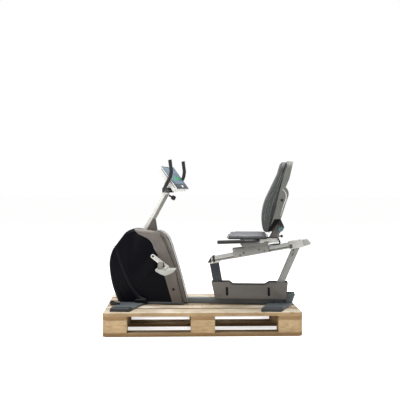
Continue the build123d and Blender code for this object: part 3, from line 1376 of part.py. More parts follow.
BACK_WAIST_H = PIVOT_H + 0.457 * BACK_HEIGHT      # where the backrest starts to narrow
with BuildPart() as back_block:
    with BuildSketch(Plane.YZ) as back_front_view:
        with BuildLine():
            Polyline(
                (-BACK_HALF_WIDTH, DECK_TOP + BACK_TOE[1] - BACK_EDGE_R),
                (-BACK_HALF_WIDTH, DECK_TOP + BACK_WAIST_H),
                (-BACK_TOP_HALF_WIDTH, DECK_TOP + BACK_TOP_H),
                (BACK_TOP_HALF_WIDTH, DECK_TOP + BACK_TOP_H),
                (BACK_HALF_WIDTH, DECK_TOP + BACK_WAIST_H),
                (BACK_HALF_WIDTH, DECK_TOP + BACK_TOE[1] - BACK_EDGE_R),
                close=True,
            )
        make_face()
        fillet(back_front_view.vertices().group_by(Axis.Y)[-1], BACK_CORNER_R)
        fillet(back_front_view.vertices().group_by(Axis.Y)[0], BACK_CORNER_R)
    extrude(amount=2 * PIVOT_X)

with BuildPart() as back_cushion:
    with BuildSketch(SIDE):
        with BuildLine():
            Polyline(SEAM[2], BACK_FRONT[0], BACK_FRONT[1], BACK_FRONT[2])
            ThreePointArc(BACK_FRONT[2], BACK_FRONT[3], BACK_FRONT[4])
            Polyline(BACK_FRONT[4], BACK_FRONT[5], BACK_TOE, *SEAM)
        make_face()
    extrude(amount=BACK_HALF_WIDTH, both=True)
    add(back_block.part, mode=Mode.INTERSECT)
back_cushion.part.label = "back_cushion"
export_step(back_cushion.part, "parts/back_cushion.step")

with BuildPart() as back_shell:
    with BuildSketch(SIDE):
        with BuildLine():
            Polyline(*reversed(SHELL_SEAM), SHELL_TOE, SHELL_HEEL, BACK_REAR[0], BACK_REAR[1])
            ThreePointArc(BACK_REAR[1], BACK_REAR[2], BACK_REAR[3])
            Polyline(BACK_REAR[3], BACK_REAR[4], BACK_REAR[5], SHELL_SEAM[-1])
        make_face()
    extrude(amount=BACK_HALF_WIDTH, both=True)
    add(back_block.part, mode=Mode.INTERSECT)
back_shell.part.label = "back_shell"
export_step(back_shell.part, "parts/back_shell.step")

HEEL_SLOPE = (SHELL_HEEL[1] - SHELL_TOE[1]) / (SHELL_HEEL[0] - SHELL_TOE[0])
ARM_TOP_X = SHELL_TOE[0] + 14
BACK_ARM_Y = HINGE_PLATE_Y - HINGE_GAP - BACK_ARM_T / 2
with BuildPart() as back_arms:
    for side in (-1, 1):
        with BuildSketch(SIDE.offset(-side * BACK_ARM_Y)):
            with BuildLine():
                Polyline(
                    (ARM_TOP_X, SHELL_TOE[1] + 14 * HEEL_SLOPE),
                    SHELL_HEEL,
                    (PIVOT_X + 26, PIVOT_H + 12),
                    (PIVOT_X + 14, PIVOT_H - 14),
                    (PIVOT_X - 10, PIVOT_H - 14),
                    (SHELL_TOE[0] + 12, SHELL_TOE[1] + 2),
                    close=True,
                )
            make_face()
            with Locations((PIVOT_X, PIVOT_H)):
                Circle(PIVOT_R + RUN_FIT, mode=Mode.SUBTRACT)
        extrude(amount=BACK_ARM_T / 2, both=True)
back_arms.part.label = "back_arms"
export_step(back_arms.part, "parts/back_arms.step")
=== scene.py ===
import logging
import math
import random
from dataclasses import dataclass
from enum import Enum
from typing import Callable, Iterable, Sequence

import bmesh
import bpy
from mathutils import Matrix, Vector


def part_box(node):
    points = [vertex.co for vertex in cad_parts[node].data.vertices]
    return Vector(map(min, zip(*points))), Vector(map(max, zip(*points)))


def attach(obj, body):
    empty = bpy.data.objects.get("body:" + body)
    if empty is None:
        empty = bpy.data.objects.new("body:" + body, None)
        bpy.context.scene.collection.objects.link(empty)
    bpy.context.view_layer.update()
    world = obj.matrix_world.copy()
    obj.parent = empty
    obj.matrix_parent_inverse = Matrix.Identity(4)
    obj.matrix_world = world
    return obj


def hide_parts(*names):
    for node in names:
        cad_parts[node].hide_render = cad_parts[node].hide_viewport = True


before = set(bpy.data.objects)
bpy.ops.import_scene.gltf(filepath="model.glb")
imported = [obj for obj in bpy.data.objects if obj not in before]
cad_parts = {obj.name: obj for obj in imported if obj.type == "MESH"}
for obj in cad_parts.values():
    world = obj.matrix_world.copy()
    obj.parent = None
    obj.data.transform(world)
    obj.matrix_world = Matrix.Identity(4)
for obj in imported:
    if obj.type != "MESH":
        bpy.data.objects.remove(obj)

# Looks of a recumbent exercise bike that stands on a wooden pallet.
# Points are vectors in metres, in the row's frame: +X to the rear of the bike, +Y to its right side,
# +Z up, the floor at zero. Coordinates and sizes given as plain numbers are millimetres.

logging.basicConfig(level=logging.INFO, format="%(levelname)s %(message)s")
log = logging.getLogger("bike")

MM = 0.001
DECK = 144.0                      # top of the pallet above the floor
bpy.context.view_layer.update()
SIDES = ((-1, "left"), (1, "right"))

Material = bpy.types.Material
Socket = bpy.types.NodeSocket
Verts = list[bmesh.types.BMVert]
Pair = tuple[float, float]
Line = tuple[Pair, ...]           # (x, height above the deck) points of a side view
Rect = tuple[float, float, float, float]


# ------------------------------------------------------------------ small helpers
def linear(colour: str) -> tuple[float, float, float, float]:
    """Turns an sRGB hex colour into linear RGBA.

    Args:
        colour: a colour such as "#c0a070".

    Returns:
        Red, green, blue and alpha for a colour socket.
    """
    channels = [int(colour[i:i + 2], 16) / 255 for i in (1, 3, 5)]
    bent = [c / 12.92 if c <= 0.04045 else ((c + 0.055) / 1.055) ** 2.4 for c in channels]
    return bent[0], bent[1], bent[2], 1.0


def point(x: float, y: float, z: float) -> Vector:
    """A point in metres from millimetres."""
    return Vector((x * MM, y * MM, z * MM))


def place(x: float, y: float, height: float) -> Vector:
    """A point in metres from x, y and the height above the pallet's deck, in millimetres."""
    return point(x, y, DECK + height)


def sideways(side: float) -> Vector:
    """The unit vector out to one side: −1 is the left, 1 the right."""
    return Vector((0, side, 0))


def fill(node: bpy.types.Node, sockets: dict) -> None:
    """Sets or links a node's inputs.

    Args:
        node: the node.
        sockets: inputs by name or number, each with a value or an output to link.
    """
    for key, value in sockets.items():
        if isinstance(value, Socket):
            node.id_data.links.new(value, node.inputs[key])
        else:
            node.inputs[key].default_value = value


def add_node(tree: bpy.types.NodeTree, kind: str, sockets: dict | None = None,
             **settings: object) -> bpy.types.Node:
    """Adds a shader node.

    Args:
        tree: the tree that gets the node.
        kind: the node's type name without its first word.
        sockets: inputs by name or number, each with a value or an output to link.
        **settings: properties of the node.

    Returns:
        The new node.
    """
    node = tree.nodes.new("ShaderNode" + kind)
    for key, value in settings.items():
        setattr(node, key, value)
    fill(node, sockets or {})
    return node


def empty_tree(owner: bpy.types.ID) -> bpy.types.NodeTree:
    """Turns on the nodes of a material or a world and clears them.

    Args:
        owner: the material or the world.

    Returns:
        Its node tree.
    """
    owner.use_nodes = True
    owner.node_tree.nodes.clear()
    return owner.node_tree


def add_object(name: str, data: bpy.types.ID) -> bpy.types.Object:
    """Makes an object and links it to the scene.

    Args:
        name: its name.
        data: its mesh, curve, lamp or camera.

    Returns:
        The object.
    """
    made = bpy.data.objects.new(name, data)
    bpy.context.scene.collection.objects.link(made)
    return made


def evaluated(piece: bpy.types.Object) -> bpy.types.Mesh:
    """A new mesh of an object with its modifiers applied."""
    return bpy.data.meshes.new_from_object(piece.evaluated_get(bpy.context.evaluated_depsgraph_get()))


# ------------------------------------------------------------------ finishes
class Mix:
    """A material on the bench: its node tree and shader, and the patterns that go into them."""

    def __init__(self, name: str, base: str, roughness: float, metallic: float, shine: float) -> None:
        """Makes the plain material.

        Args:
            name: the material's name.
            base: its sRGB hex colour.
            roughness: its roughness.
            metallic: its share of metal.
            shine: its specular level, which a metal leaves alone.
        """
        self.material = bpy.data.materials.new(name)
        self.tree = empty_tree(self.material)
        self.shader = self.add("BsdfPrincipled", {
            "Base Color": linear(base), "Roughness": roughness, "Metallic": metallic})
        if metallic < 0.5:
            self.feed({"Specular IOR Level": shine})
        self.add("OutputMaterial", {"Surface": self.shader.outputs[0]})
        self.material.diffuse_color = linear(base)

    def add(self, kind: str, sockets: dict | None = None, **settings: object) -> bpy.types.Node:
        """Adds a node to the material; the arguments are those of add_node."""
        return add_node(self.tree, kind, sockets, **settings)

    def feed(self, sockets: dict) -> None:
        """Sets or links the shader's inputs, by name."""
        fill(self.shader, sockets)

    def scaled(self, where: Socket, stretch: Sequence[float]) -> Socket:
        """Coordinates stretched along each axis."""
        return self.add("Mapping", {"Vector": where, "Scale": stretch}).outputs[0]

    def coords(self, turn: Sequence[float] = (0, 0, 0), stretch: Sequence[float] = (1, 1, 1)) -> Socket:
        """Object coordinates, turned and then stretched.

        Args:
            turn: rotation in degrees about X, Y and Z.
            stretch: scale on each axis.

        Returns:
            The vector output.
        """
        source = self.add("TexCoord").outputs["Object"]
        turned = self.add("Mapping", {"Vector": source, "Rotation": [math.radians(a) for a in turn]})
        return self.scaled(turned.outputs[0], stretch)

    def mottle(self, where: Socket, size_mm: float, detail: float = 3.0, rough: float = 0.55) -> Socket:
        """Noise whose patches are about size_mm across, from 0 to 1."""
        return self.add("TexNoise", {"Vector": where, "Scale": 1000.0 / size_mm, "Detail": detail,
                                     "Roughness": rough}).outputs["Fac"]

    def cells(self, where: Socket, scale: float, feature: str = "F1") -> Socket:
        """Distance to the nearest of many scattered points."""
        return self.add("TexVoronoi", {"Vector": where, "Scale": scale}, feature=feature).outputs["Distance"]

    def blend(self, share: Socket | float, first: Socket | str, second: str) -> Socket:
        """Mixes a colour with a second one by a share; a colour is a socket or an sRGB hex value."""
        first = linear(first) if isinstance(first, str) else first
        return self.add("Mix", {0: share, 6: first, 7: linear(second)}, data_type="RGBA").outputs[2]

    def sum(self, first: Socket, kind: str, second: Socket | float) -> Socket:
        """One operation on two values."""
        return self.add("Math", {0: first, 1: second}, operation=kind).outputs[0]

    def ramp(self, value: Socket, low: float, high: float, out_low: float, out_high: float) -> Socket:
        """Maps low..high onto out_low..out_high, clamped."""
        return self.add("MapRange", {"Value": value, "From Min": low, "From Max": high,
                                     "To Min": out_low, "To Max": out_high}).outputs[0]

    def relief(self, height: Socket, depth_mm: float, strength: float) -> None:
        """Gives the shader a bump of the given depth."""
        self.feed({"Normal": self.add("Bump", {
            "Height": height, "Distance": depth_mm * MM, "Strength": strength}).outputs[0]})


@dataclass(frozen=True)
class Finish:
    """A material's common values; each kind of finish adds its own pattern."""

    name: str
    base: str
    roughness: float = 0.5
    metallic: float = 0.0
    shine: float = 0.5

    def pattern(self, mix: Mix) -> None:
        """Adds the kind's pattern to the plain material on the bench."""
        raise NotImplementedError

    def build(self) -> Material:
        """Makes the material."""
        mix = Mix(self.name, self.base, self.roughness, self.metallic, self.shine)
        self.pattern(mix)
        return mix.material


@dataclass(frozen=True)
class PowderCoat(Finish):
    """Baked polyester powder on steel: a fine orange peel, satin, a little dust on top."""

    peel_mm: float = 2.2
    cloud_mm: float = 90.0
    dust: str = "#b9b4aa"
    dust_share: float = 0.10

    def pattern(self, mix: Mix) -> None:
        """Peel as bump, uneven satin, and dust in patches."""
        where = mix.coords()
        cloud = mix.mottle(where, self.cloud_mm, 5.0, 0.6)
        dusty = mix.ramp(cloud, 0.45, 0.75, 0.0, self.dust_share)
        mix.feed({"Base Color": mix.blend(dusty, self.base, self.dust),
                  "Roughness": mix.ramp(cloud, 0.3, 0.7, self.roughness - 0.06, self.roughness + 0.08)})
        mix.relief(mix.mottle(where, self.peel_mm, 2.0), 0.10, 0.5)


@dataclass(frozen=True)
class MouldedPlastic(Finish):
    """Injection-moulded ABS: a spark-eroded grain that scatters light, slight shade changes."""

    grain_mm: float = 1.4
    grain_depth_mm: float = 0.12
    cloud_mm: float = 70.0
    shade: float = 0.06

    def pattern(self, mix: Mix) -> None:
        """Grain as bump and a faint cloud in the colour."""
        where = mix.coords()
        cloud = mix.mottle(where, self.cloud_mm, 4.0)
        darker = mix.ramp(cloud, 0.35, 0.65, 0.0, self.shade * 2)
        mix.feed({"Base Color": mix.blend(darker, self.base, "#000000"),
                  "Roughness": mix.ramp(cloud, 0.3, 0.7, self.roughness + 0.05, self.roughness - 0.05)})
        mix.relief(mix.mottle(where, self.grain_mm, 2.0, 0.7), self.grain_depth_mm, 0.6)


@dataclass(frozen=True)
class GlossCover(Finish):
    """Semi-gloss moulded ABS cover: a smooth face with hairline scuffs and a soft sheen."""

    scuff_mm: float = 22.0
    wave_mm: float = 160.0

    def pattern(self, mix: Mix) -> None:
        """Fine scuffs in the roughness over a broad, shallow waviness."""
        scuffs = mix.mottle(mix.coords((0, 35, 0), (1, 1, 14)), self.scuff_mm, 6.0, 0.75)
        mix.feed({"Roughness": mix.ramp(scuffs, 0.35, 0.7, self.roughness, self.roughness + 0.16)})
        mix.relief(mix.mottle(mix.coords(), self.wave_mm, 1.0), 0.8, 0.25)


class Grain(Enum):
    """How the wood's pattern is stretched, in the pallet's own axes, so that fibres run along or across."""

    ALONG = (1.0, 9.0, 9.0)
    ACROSS = (9.0, 1.0, 9.0)


@dataclass(frozen=True)
class SawnPine(Finish):
    """Rough-sawn softwood: late wood lines, fibres, knots, bleached tops, dirt in patches, and sides darker than
    tops as painted shade.
    """

    # colour of the faces that don't face up, darker than the top: painted shade
    side: str = "#c0a47c"
    late: str = "#8f6a3e"
    bleached: str = "#ddd6c6"
    dirt: str = "#6e5a41"
    knot: str = "#4f3420"
    aged: str = "#8a6f4b"
    run: Grain = Grain.ALONG
    pallet_turn: float = -6.0
    shift: tuple[float, float, float] = (3.1, 5.7, 7.3)

    def pattern(self, mix: Mix) -> None:
        """Lines drawn along the board, each board shifted by its own number."""
        board, top = (mix.add("Attribute", attribute_name=name).outputs["Fac"] for name in ("board", "top"))
        shift = mix.add("VectorMath", {0: self.shift, "Scale": board}, operation="SCALE").outputs[0]
        spot = mix.add("VectorMath", {0: mix.coords((0, 0, self.pallet_turn)), 1: shift},
                       operation="ADD").outputs[0]
        grained = mix.scaled(spot, self.run.value)
        rings = mix.mottle(grained, 170.0, 2.0, 0.4)
        lines = mix.sum(mix.sum(rings, "MULTIPLY", 14.0), "PINGPONG", 1.0)
        fibres = mix.mottle(grained, 20.0, 4.0, 0.75)
        knots = mix.cells(mix.scaled(spot, [1.0 if a == 1.0 else 1.7 for a in self.run.value]), 6.5)
        patches = mix.mottle(spot, 320.0, 4.0, 0.6)
        # tops take the base colour, the other faces the darker side colour: painted shade on the sides
        colour = mix.blend(top, self.side, self.base)
        for share, shade in (
                (mix.ramp(lines, 0.35, 1.0, 0.0, 0.42), self.late),
                (mix.ramp(fibres, 0.42, 0.78, 0.0, 0.45), self.late),
                (mix.sum(mix.ramp(patches, 0.38, 0.62, 0.05, 0.85), "MULTIPLY", top), self.bleached),
                (mix.ramp(patches, 0.60, 0.38, 0.0, 0.40), self.dirt),
                (mix.ramp(knots, 0.05, 0.16, 0.55, 0.0), self.late),
                (mix.ramp(knots, 0.035, 0.06, 0.9, 0.0), self.knot),
                (mix.sum(board, "MULTIPLY", 0.22), self.aged)):
            colour = mix.blend(share, colour, shade)
        mix.feed({"Base Color": colour})
        mix.relief(mix.sum(fibres, "ADD", mix.sum(lines, "MULTIPLY", 0.5)), 0.7, 0.6)


@dataclass(frozen=True)
class Vinyl(Finish):
    """Embossed upholstery vinyl: leather-like pebbles, a soft shader sheen, and paler patches that are a painted
    sheen.
    """

    pebble_mm: float = 2.6
    cloud_mm: float = 55.0
    sheen_tint: str = "#8b8b8c"

    def pattern(self, mix: Mix) -> None:
        """Pebbles as bump, and paler patches laid by noise as a painted sheen."""
        where = mix.coords()
        pebbles = mix.cells(where, 1000.0 / self.pebble_mm, "SMOOTH_F1")
        # paler patches laid by noise: a painted sheen
        painted_sheen = mix.ramp(mix.mottle(where, self.cloud_mm, 4.0), 0.35, 0.7, 0.0, 0.22)
        mix.feed({"Base Color": mix.blend(painted_sheen, self.base, self.sheen_tint),
                  "Roughness": mix.ramp(pebbles, 0.0, 0.6, self.roughness - 0.05, self.roughness + 0.12),
                  "Sheen Weight": 0.12, "Sheen Roughness": 0.45})
        mix.relief(pebbles, 0.35, 0.55)


@dataclass(frozen=True)
class Foam(Finish):
    """Closed-cell foam sleeve: dull, with an open skin of tiny cells."""

    cell_mm: float = 1.8

    def pattern(self, mix: Mix) -> None:
        """Cells as bump."""
        mix.relief(mix.cells(mix.coords(), 1000.0 / self.cell_mm), 0.4, 0.6)
        mix.feed({"Sheen Weight": 0.2})


@dataclass(frozen=True)
class DrawnMetal(Finish):
    """Drawn or brushed aluminium: hairlines along one direction."""

    turn: tuple[float, float, float] = (0.0, 0.0, 0.0)
    line_mm: float = 3.0
    cloud_mm: float = 60.0
    dull: str = "#7d7d78"

    def pattern(self, mix: Mix) -> None:
        """Hairlines in roughness and bump."""
        lines = mix.mottle(mix.coords(self.turn, (0.02, 1.0, 1.0)), self.line_mm, 3.0, 0.7)
        dulled = mix.ramp(mix.mottle(mix.coords(), self.cloud_mm, 3.0), 0.3, 0.7, 0.0, 0.10)
        mix.feed({"Base Color": mix.blend(dulled, self.base, self.dull),
                  "Roughness": mix.ramp(lines, 0.3, 0.7, self.roughness - 0.08, self.roughness + 0.1)})
        mix.relief(lines, 0.06, 0.4)


@dataclass(frozen=True)
class Display(Finish):
    """Clear acrylic window over a lit panel: a smooth face that glows a little."""

    glow: float = 0.0
    cloud_mm: float = 80.0
    second: str = "#8fa3b5"

    def pattern(self, mix: Mix) -> None:
        """A slow shade change under a glossy coat."""
        share = mix.ramp(mix.mottle(mix.coords(), self.cloud_mm, 1.0), 0.35, 0.65, 0.0, 1.0)
        colour = mix.blend(share, self.base, self.second)
        mix.feed({"Base Color": colour, "Emission Color": colour, "Emission Strength": self.glow,
                  "Coat Weight": 0.2, "Coat Roughness": 0.12})


class Paints:
    """Every finish on the bike, built once."""

    def __init__(self) -> None:
        """Builds the materials."""
        # powder coats: the floor frame is slate, the base box warm grey, posts dark or pale
        self.slate = PowderCoat("slate powder coat", "#565c60", 0.42).build()
        # the beam is lighter than the feet's slate
        self.beam_slate = PowderCoat("lighter slate beam powder coat", "#676d70", 0.42, dust_share=0.1).build()
        self.box_grey = PowderCoat("warm grey powder coat", "#6c6863", 0.45, dust_share=0.06).build()
        self.dark = PowderCoat("blue-black powder coat", "#2d3238", 0.42).build()
        self.silver = PowderCoat("silver-grey powder coat", "#9c9b96", 0.38, metallic=0.25).build()
        self.pale = PowderCoat("pale grey powder coat", "#d3d2cd", 0.40).build()
        self.black = PowderCoat("black powder coat", "#27272a", 0.40, dust_share=0.04).build()
        self.post_grey = PowderCoat("pale grey post powder coat", "#9d9e9a", 0.40).build()
        self.sleeve_grey = PowderCoat("cream-grey sleeve powder coat", "#cfcfc8", 0.40).build()
        self.frame_grey = PowderCoat("mid-grey seat frame powder coat", "#7d7c78", 0.42).build()
        self.plate_grey = PowderCoat("warm grey hinge plate powder coat", "#716e69", 0.42).build()
        self.mast_light = PowderCoat("cream-grey mast powder coat", "#e6e5df", 0.36, dust_share=0.03).build()
        # painted shade: the mast's rear half
        self.mast_rear_shade = PowderCoat("grey-brown painted shade, mast rear", "#8d8c85", 0.42).build()
        # plastics: covers are semi-gloss, shells and caps carry a grain
        self.cover = GlossCover("semi-gloss black ABS", "#0a0a11", 0.34, shine=0.10).build()
        self.cover_rib = GlossCover("semi-gloss black ABS rib", "#0b0c11", 0.34, shine=0.16).build()
        # painted highlight: the boot's front half
        self.boot_front_highlight = MouldedPlastic("pale grey painted highlight, boot front", "#cfccc6", 0.40).build()
        self.boot_dark = MouldedPlastic("dark taupe boot plastic", "#5d5751", 0.45).build()
        # painted shade: the feet's end caps, darker than the feet's slate, as their end faces look in shade
        self.foot_cap_shaded = MouldedPlastic("slate nylon cap darkened as painted shade", "#34383b", 0.45).build()
        self.end_cap = MouldedPlastic("pale grey moulded end cap", "#b9b8b4", 0.40).build()
        self.hub_grey = MouldedPlastic("grey moulded wheel hub", "#8d8d8a", 0.45).build()
        self.seam_dark = MouldedPlastic("shadow-dark joint plastic", "#2a2826", 0.60, shine=0.2).build()
        # painted shade: grey strips at the mouth of the rail's sleeve
        self.sleeve_mouth_shade = MouldedPlastic("grey painted shade, sleeve mouth", "#65635f", 0.60, shine=0.2).build()
        # painted highlight: the pale rim along the backrest shell's edge
        self.shell_rim_highlight = MouldedPlastic("pale painted highlight, shell rim", "#e4e4df", 0.34).build()
        self.key_grey = MouldedPlastic("grey silicone key", "#5d656d", 0.45).build()
        self.pedal = MouldedPlastic("light grey pedal nylon", "#bcbcb6", 0.40, shade=0.04).build()
        self.strap = MouldedPlastic("grey pedal strap rubber", "#77736d", 0.55, shine=0.3).build()
        self.taupe = MouldedPlastic("taupe moulded ABS", "#78706a", 0.40, shade=0.08).build()
        self.spine = MouldedPlastic("pale grey moulded ABS", "#cbcac8", 0.34, shade=0.03).build()
        # painted shade: the housing spine's side faces
        self.spine_side_shade = MouldedPlastic("grey-brown painted shade, spine sides", "#87817b", 0.42).build()
        self.black_plastic = MouldedPlastic("black moulded nylon", "#1f2022", 0.48).build()
        self.deep_black = MouldedPlastic("matt black moulded corner", "#0b0b0c", 0.60, shine=0.12).build()
        self.white = MouldedPlastic("white moulded ABS", "#f2f2f0", 0.36, shade=0.01).build()
        self.shell = MouldedPlastic("grey-brown moulded shell ABS", "#73736e", 0.50, shine=0.25).build()
        self.teal = MouldedPlastic("teal moulded knob", "#6b8f93", 0.40).build()
        self.slot_black = MouldedPlastic("matt black plug nylon", "#0e0e0f", 0.60, shine=0.15).build()
        self.rubber = MouldedPlastic("black rubber", "#1b1b1c", 0.72).build()
        # soft goods
        self.vinyl = Vinyl("charcoal upholstery vinyl", "#5f6064", 0.46).build()
        self.vinyl_back = Vinyl("charcoal back-cushion vinyl", "#3d403e", 0.50, sheen_tint="#5f6160").build()
        self.piping = Vinyl("black piping vinyl", "#2c2c2d", 0.45).build()
        self.seam = Vinyl("grey seam cord", "#6c6f6d", 0.45).build()
        self.foam = Foam("black grip foam", "#252423", 0.78).build()
        # metals
        self.rail = DrawnMetal("anodised rail aluminium", "#c9c9c4", 0.34, 0.85, turn=(0, -10.6, 0)).build()
        self.crank = DrawnMetal("satin cast aluminium", "#efeeea", 0.36, 0.55, turn=(0, 38, 0)).build()
        self.channel = PowderCoat("dark channel strip", "#6d6862", 0.5).build()
        self.rail_lip = DrawnMetal("bright rail lip", "#dcdcd8", 0.30, 0.8, turn=(0, -10.6, 0)).build()
        self.bolt_light = DrawnMetal("grey zinc bolt", "#84827d", 0.40, 0.8, line_mm=6.0).build()
        self.bolt = DrawnMetal("blackened steel bolt", "#3a3a3c", 0.40, 0.8, line_mm=6.0).build()
        self.iron = DrawnMetal("plain grey iron", "#55585a", 0.55, 0.6, line_mm=8.0).build()
        # display
        self.screen = Display("slate-blue display", "#566a7a", 0.34, glow=0.02, second="#73899a").build()
        self.screen_pale = Display("pale readout window", "#7c91a1", 0.34, glow=0.02, second="#6b8091").build()
        self.green = Display("green display patch", "#2f9a5c", 0.3, glow=0.10, second="#47ab70").build()
        self.bezel = Display("dark bezel acrylic", "#3a4148", 0.30, second="#495058").build()
        # wood
        self.pine_long = SawnPine("rough-sawn pine, long boards", "#d8cdb6", 0.80).build()
        self.pine_block = SawnPine("sawn pine block", "#cdb48c", 0.82, side="#cfb48b").build()
        self.pine_cross = SawnPine("rough-sawn pine, cross boards", "#cdbb98", 0.80, side="#a5845a",
                                   run=Grain.ACROSS).build()
        # painted shade: the bottom boards, which lie under the deck, are darker
        self.pine_low_shaded = SawnPine("pine bottom boards, darkened as painted shade", "#a08a68", 0.84, side="#8d7049",
                                 bleached="#b0a287").build()
        self.nail = DrawnMetal("dull nail steel", "#6f6a62", 0.5, 0.7, line_mm=6.0).build()


# ------------------------------------------------------------------ mesh making
class Workpiece:
    """A mesh on the bench: bmesh operators shape it, then it becomes an object."""

    def __init__(self, name: str) -> None:
        """Starts an empty mesh for a piece of that name."""
        self.name = name
        self.bm = bmesh.new()

    def block(self, xs: Pair, ys: Pair, zs: Pair, edge: float = 0.0, segments: int = 2,
              turn: Matrix | None = None, side: int = 1) -> None:
        """Adds a box with rounded edges, in millimetres.

        Args:
            xs: its range along X.
            ys: its range along Y.
            zs: its range along Z.
            edge: rounding of the edges.
            segments: steps of the rounding.
            turn: a matrix applied at the end.
            side: −1 mirrors the range along Y.
        """
        near, far = sorted(side * y for y in ys)
        low, high = point(xs[0], near, zs[0]), point(xs[1], far, zs[1])
        made = bmesh.ops.create_cube(self.bm, size=1.0)["verts"]
        bmesh.ops.scale(self.bm, vec=high - low, verts=made)
        bmesh.ops.translate(self.bm, vec=(high + low) / 2, verts=made)
        if edge > 0:
            made = self.round_edges(made, edge, segments)
        if turn is not None:
            bmesh.ops.transform(self.bm, matrix=turn, verts=made)

    def bevel(self, edges: list[bmesh.types.BMEdge], edge: float, segments: int) -> None:
        """Rounds some edges by a radius in millimetres, in a number of steps."""
        bmesh.ops.bevel(self.bm, geom=edges, offset=edge * MM, affect="EDGES", segments=segments,
                        profile=0.5, material=-1, clamp_overlap=True)

    def round_edges(self, verts: Iterable[bmesh.types.BMVert], edge: float, segments: int = 2,
                    sharper_than: float = 25.0) -> Verts:
        """Rounds the sharp edges among some vertices.

        Args:
            verts: the vertices.
            edge: the rounding in millimetres.
            segments: steps of the rounding.
            sharper_than: the least angle that is rounded, in degrees.

        Returns:
            The vertices that are there now in their place.
        """
        chosen = set(verts)
        edges = [e for e in self.bm.edges if e.verts[0] in chosen and e.verts[1] in chosen
                 and len(e.link_faces) == 2 and e.calc_face_angle(0.0) > math.radians(sharper_than)]
        before = set(self.bm.verts) - chosen
        self.bevel(edges, edge, segments)
        return self.made_since(before)

    def made_since(self, before: set[bmesh.types.BMVert]) -> Verts:
        """The vertices that weren't there before."""
        return [v for v in self.bm.verts if v not in before]

    def merge(self, before: set[bmesh.types.BMVert]) -> Verts:
        """Joins double vertices among the new ones and turns their faces outward.

        Args:
            before: the vertices that aren't new.

        Returns:
            The new vertices.
        """
        bmesh.ops.remove_doubles(self.bm, verts=self.made_since(before), dist=1e-6)
        made = self.made_since(before)
        bmesh.ops.recalc_face_normals(self.bm, faces=list({f for v in made for f in v.link_faces}))
        return made

    def stand(self, made: Verts, centre: Vector, axis: Vector) -> None:
        """Moves vertices made about +Z onto an axis through a point."""
        turn = axis.to_track_quat("Z", "Y").to_matrix().to_4x4()
        bmesh.ops.transform(self.bm, matrix=Matrix.Translation(centre) @ turn, verts=made)

    def rod(self, start: Vector, end: Vector, radius: float, sides: int = 28, edge: float = 0.0) -> None:
        """Adds a round bar.

        Args:
            start: middle of its first end, in metres.
            end: middle of its other end, in metres.
            radius: its radius in millimetres.
            sides: sides of the round.
            edge: rounding of its rims in millimetres.
        """
        line = end - start
        made = bmesh.ops.create_cone(self.bm, cap_ends=True, cap_tris=False, segments=sides,
                                     radius1=radius * MM, radius2=radius * MM, depth=line.length)["verts"]
        if edge > 0:
            made = self.round_edges(made, edge, 2, 40.0)
        self.stand(made, (start + end) / 2, line)

    def turned(self, profile: Sequence[Pair], centre: Vector, axis: Vector, steps: int = 40) -> None:
        """Spins a profile about an axis.

        Args:
            profile: (radius, place on the axis) points in millimetres; the ends may lie on the axis.
            centre: origin of the profile, in metres.
            axis: direction of the axis.
            steps: sides of the round.
        """
        before = set(self.bm.verts)
        verts = [self.bm.verts.new((r * MM, 0.0, z * MM)) for r, z in profile]
        edges = [self.bm.edges.new(pair) for pair in zip(verts, verts[1:])]
        bmesh.ops.spin(self.bm, geom=verts + edges, cent=(0, 0, 0), axis=(0, 0, 1),
                       angle=math.tau, steps=steps, use_merge=True, use_duplicate=False)
        self.stand(self.merge(before), centre, axis)

    def tube(self, path: Sequence[Vector], radius: float | Sequence[float], rounds: int = 5,
             smooth: bool = True, closed: bool = False) -> None:
        """Draws a round section along a path.

        Args:
            path: points in metres.
            radius: one radius, or one for each point, in millimetres.
            rounds: steps of a quarter of the section.
            smooth: whether the path bends smoothly through its points.
            closed: whether it comes back to its start.
        """
        radii = [radius] * len(path) if isinstance(radius, (int, float)) else list(radius)
        curve = bpy.data.curves.new("path", "CURVE")
        curve.dimensions = "3D"
        curve.bevel_depth, curve.bevel_resolution, curve.use_fill_caps = 1.0, rounds, not closed
        spline = curve.splines.new("BEZIER")
        spline.bezier_points.add(len(path) - 1)
        spline.resolution_u = 10 if smooth else 1
        spline.use_cyclic_u = closed
        for knot, spot, thick in zip(spline.bezier_points, path, radii):
            knot.co, knot.radius = spot, thick * MM
            knot.handle_left_type = knot.handle_right_type = "AUTO" if smooth else "VECTOR"
        holder = add_object("path", curve)
        bpy.context.view_layer.update()
        drawn = evaluated(holder)
        before = set(self.bm.verts)
        self.bm.from_mesh(drawn)
        bpy.data.objects.remove(holder)
        bpy.data.curves.remove(curve)
        bpy.data.meshes.remove(drawn)
        self.merge(before)

    def bolt(self, centre: Vector, axis: Vector, r: float, h: float, sink: float = 0.3) -> None:
        """A button-head bolt of radius r and height h, its seat's middle at a point in metres."""
        self.turned([(0, h * 0.45), (r * 0.42, h * 0.45), (r * 0.46, h), (r * 0.72, h * 0.86), (r, h * 0.3),
                     (r, -sink), (0, -sink)], centre, axis, 24)

    def washer(self, centre: Vector, axis: Vector, r: float, h: float, sink: float = 0.3,
               broken: float = 0.5) -> None:
        """A flat disc of radius r and height h with a broken edge, its seat's middle at a point in metres."""
        self.turned([(0, h), (r - broken, h), (r, h - broken), (r, -sink), (0, -sink)], centre, axis, 32)

    def recess(self, centre: Vector, axis: Vector, radii: Rect, heights: Pair, steps: int) -> None:
        """A port: a level floor in a ring with a crest, a shoulder and a foot, by their radii and heights."""
        floor, crest, shoulder, foot = radii
        self.turned([(0, 0.3), (floor, 0.3), (crest, heights[0]), (shoulder, heights[1]), (foot, -0.4),
                     (0, -0.4)], centre, axis, steps)

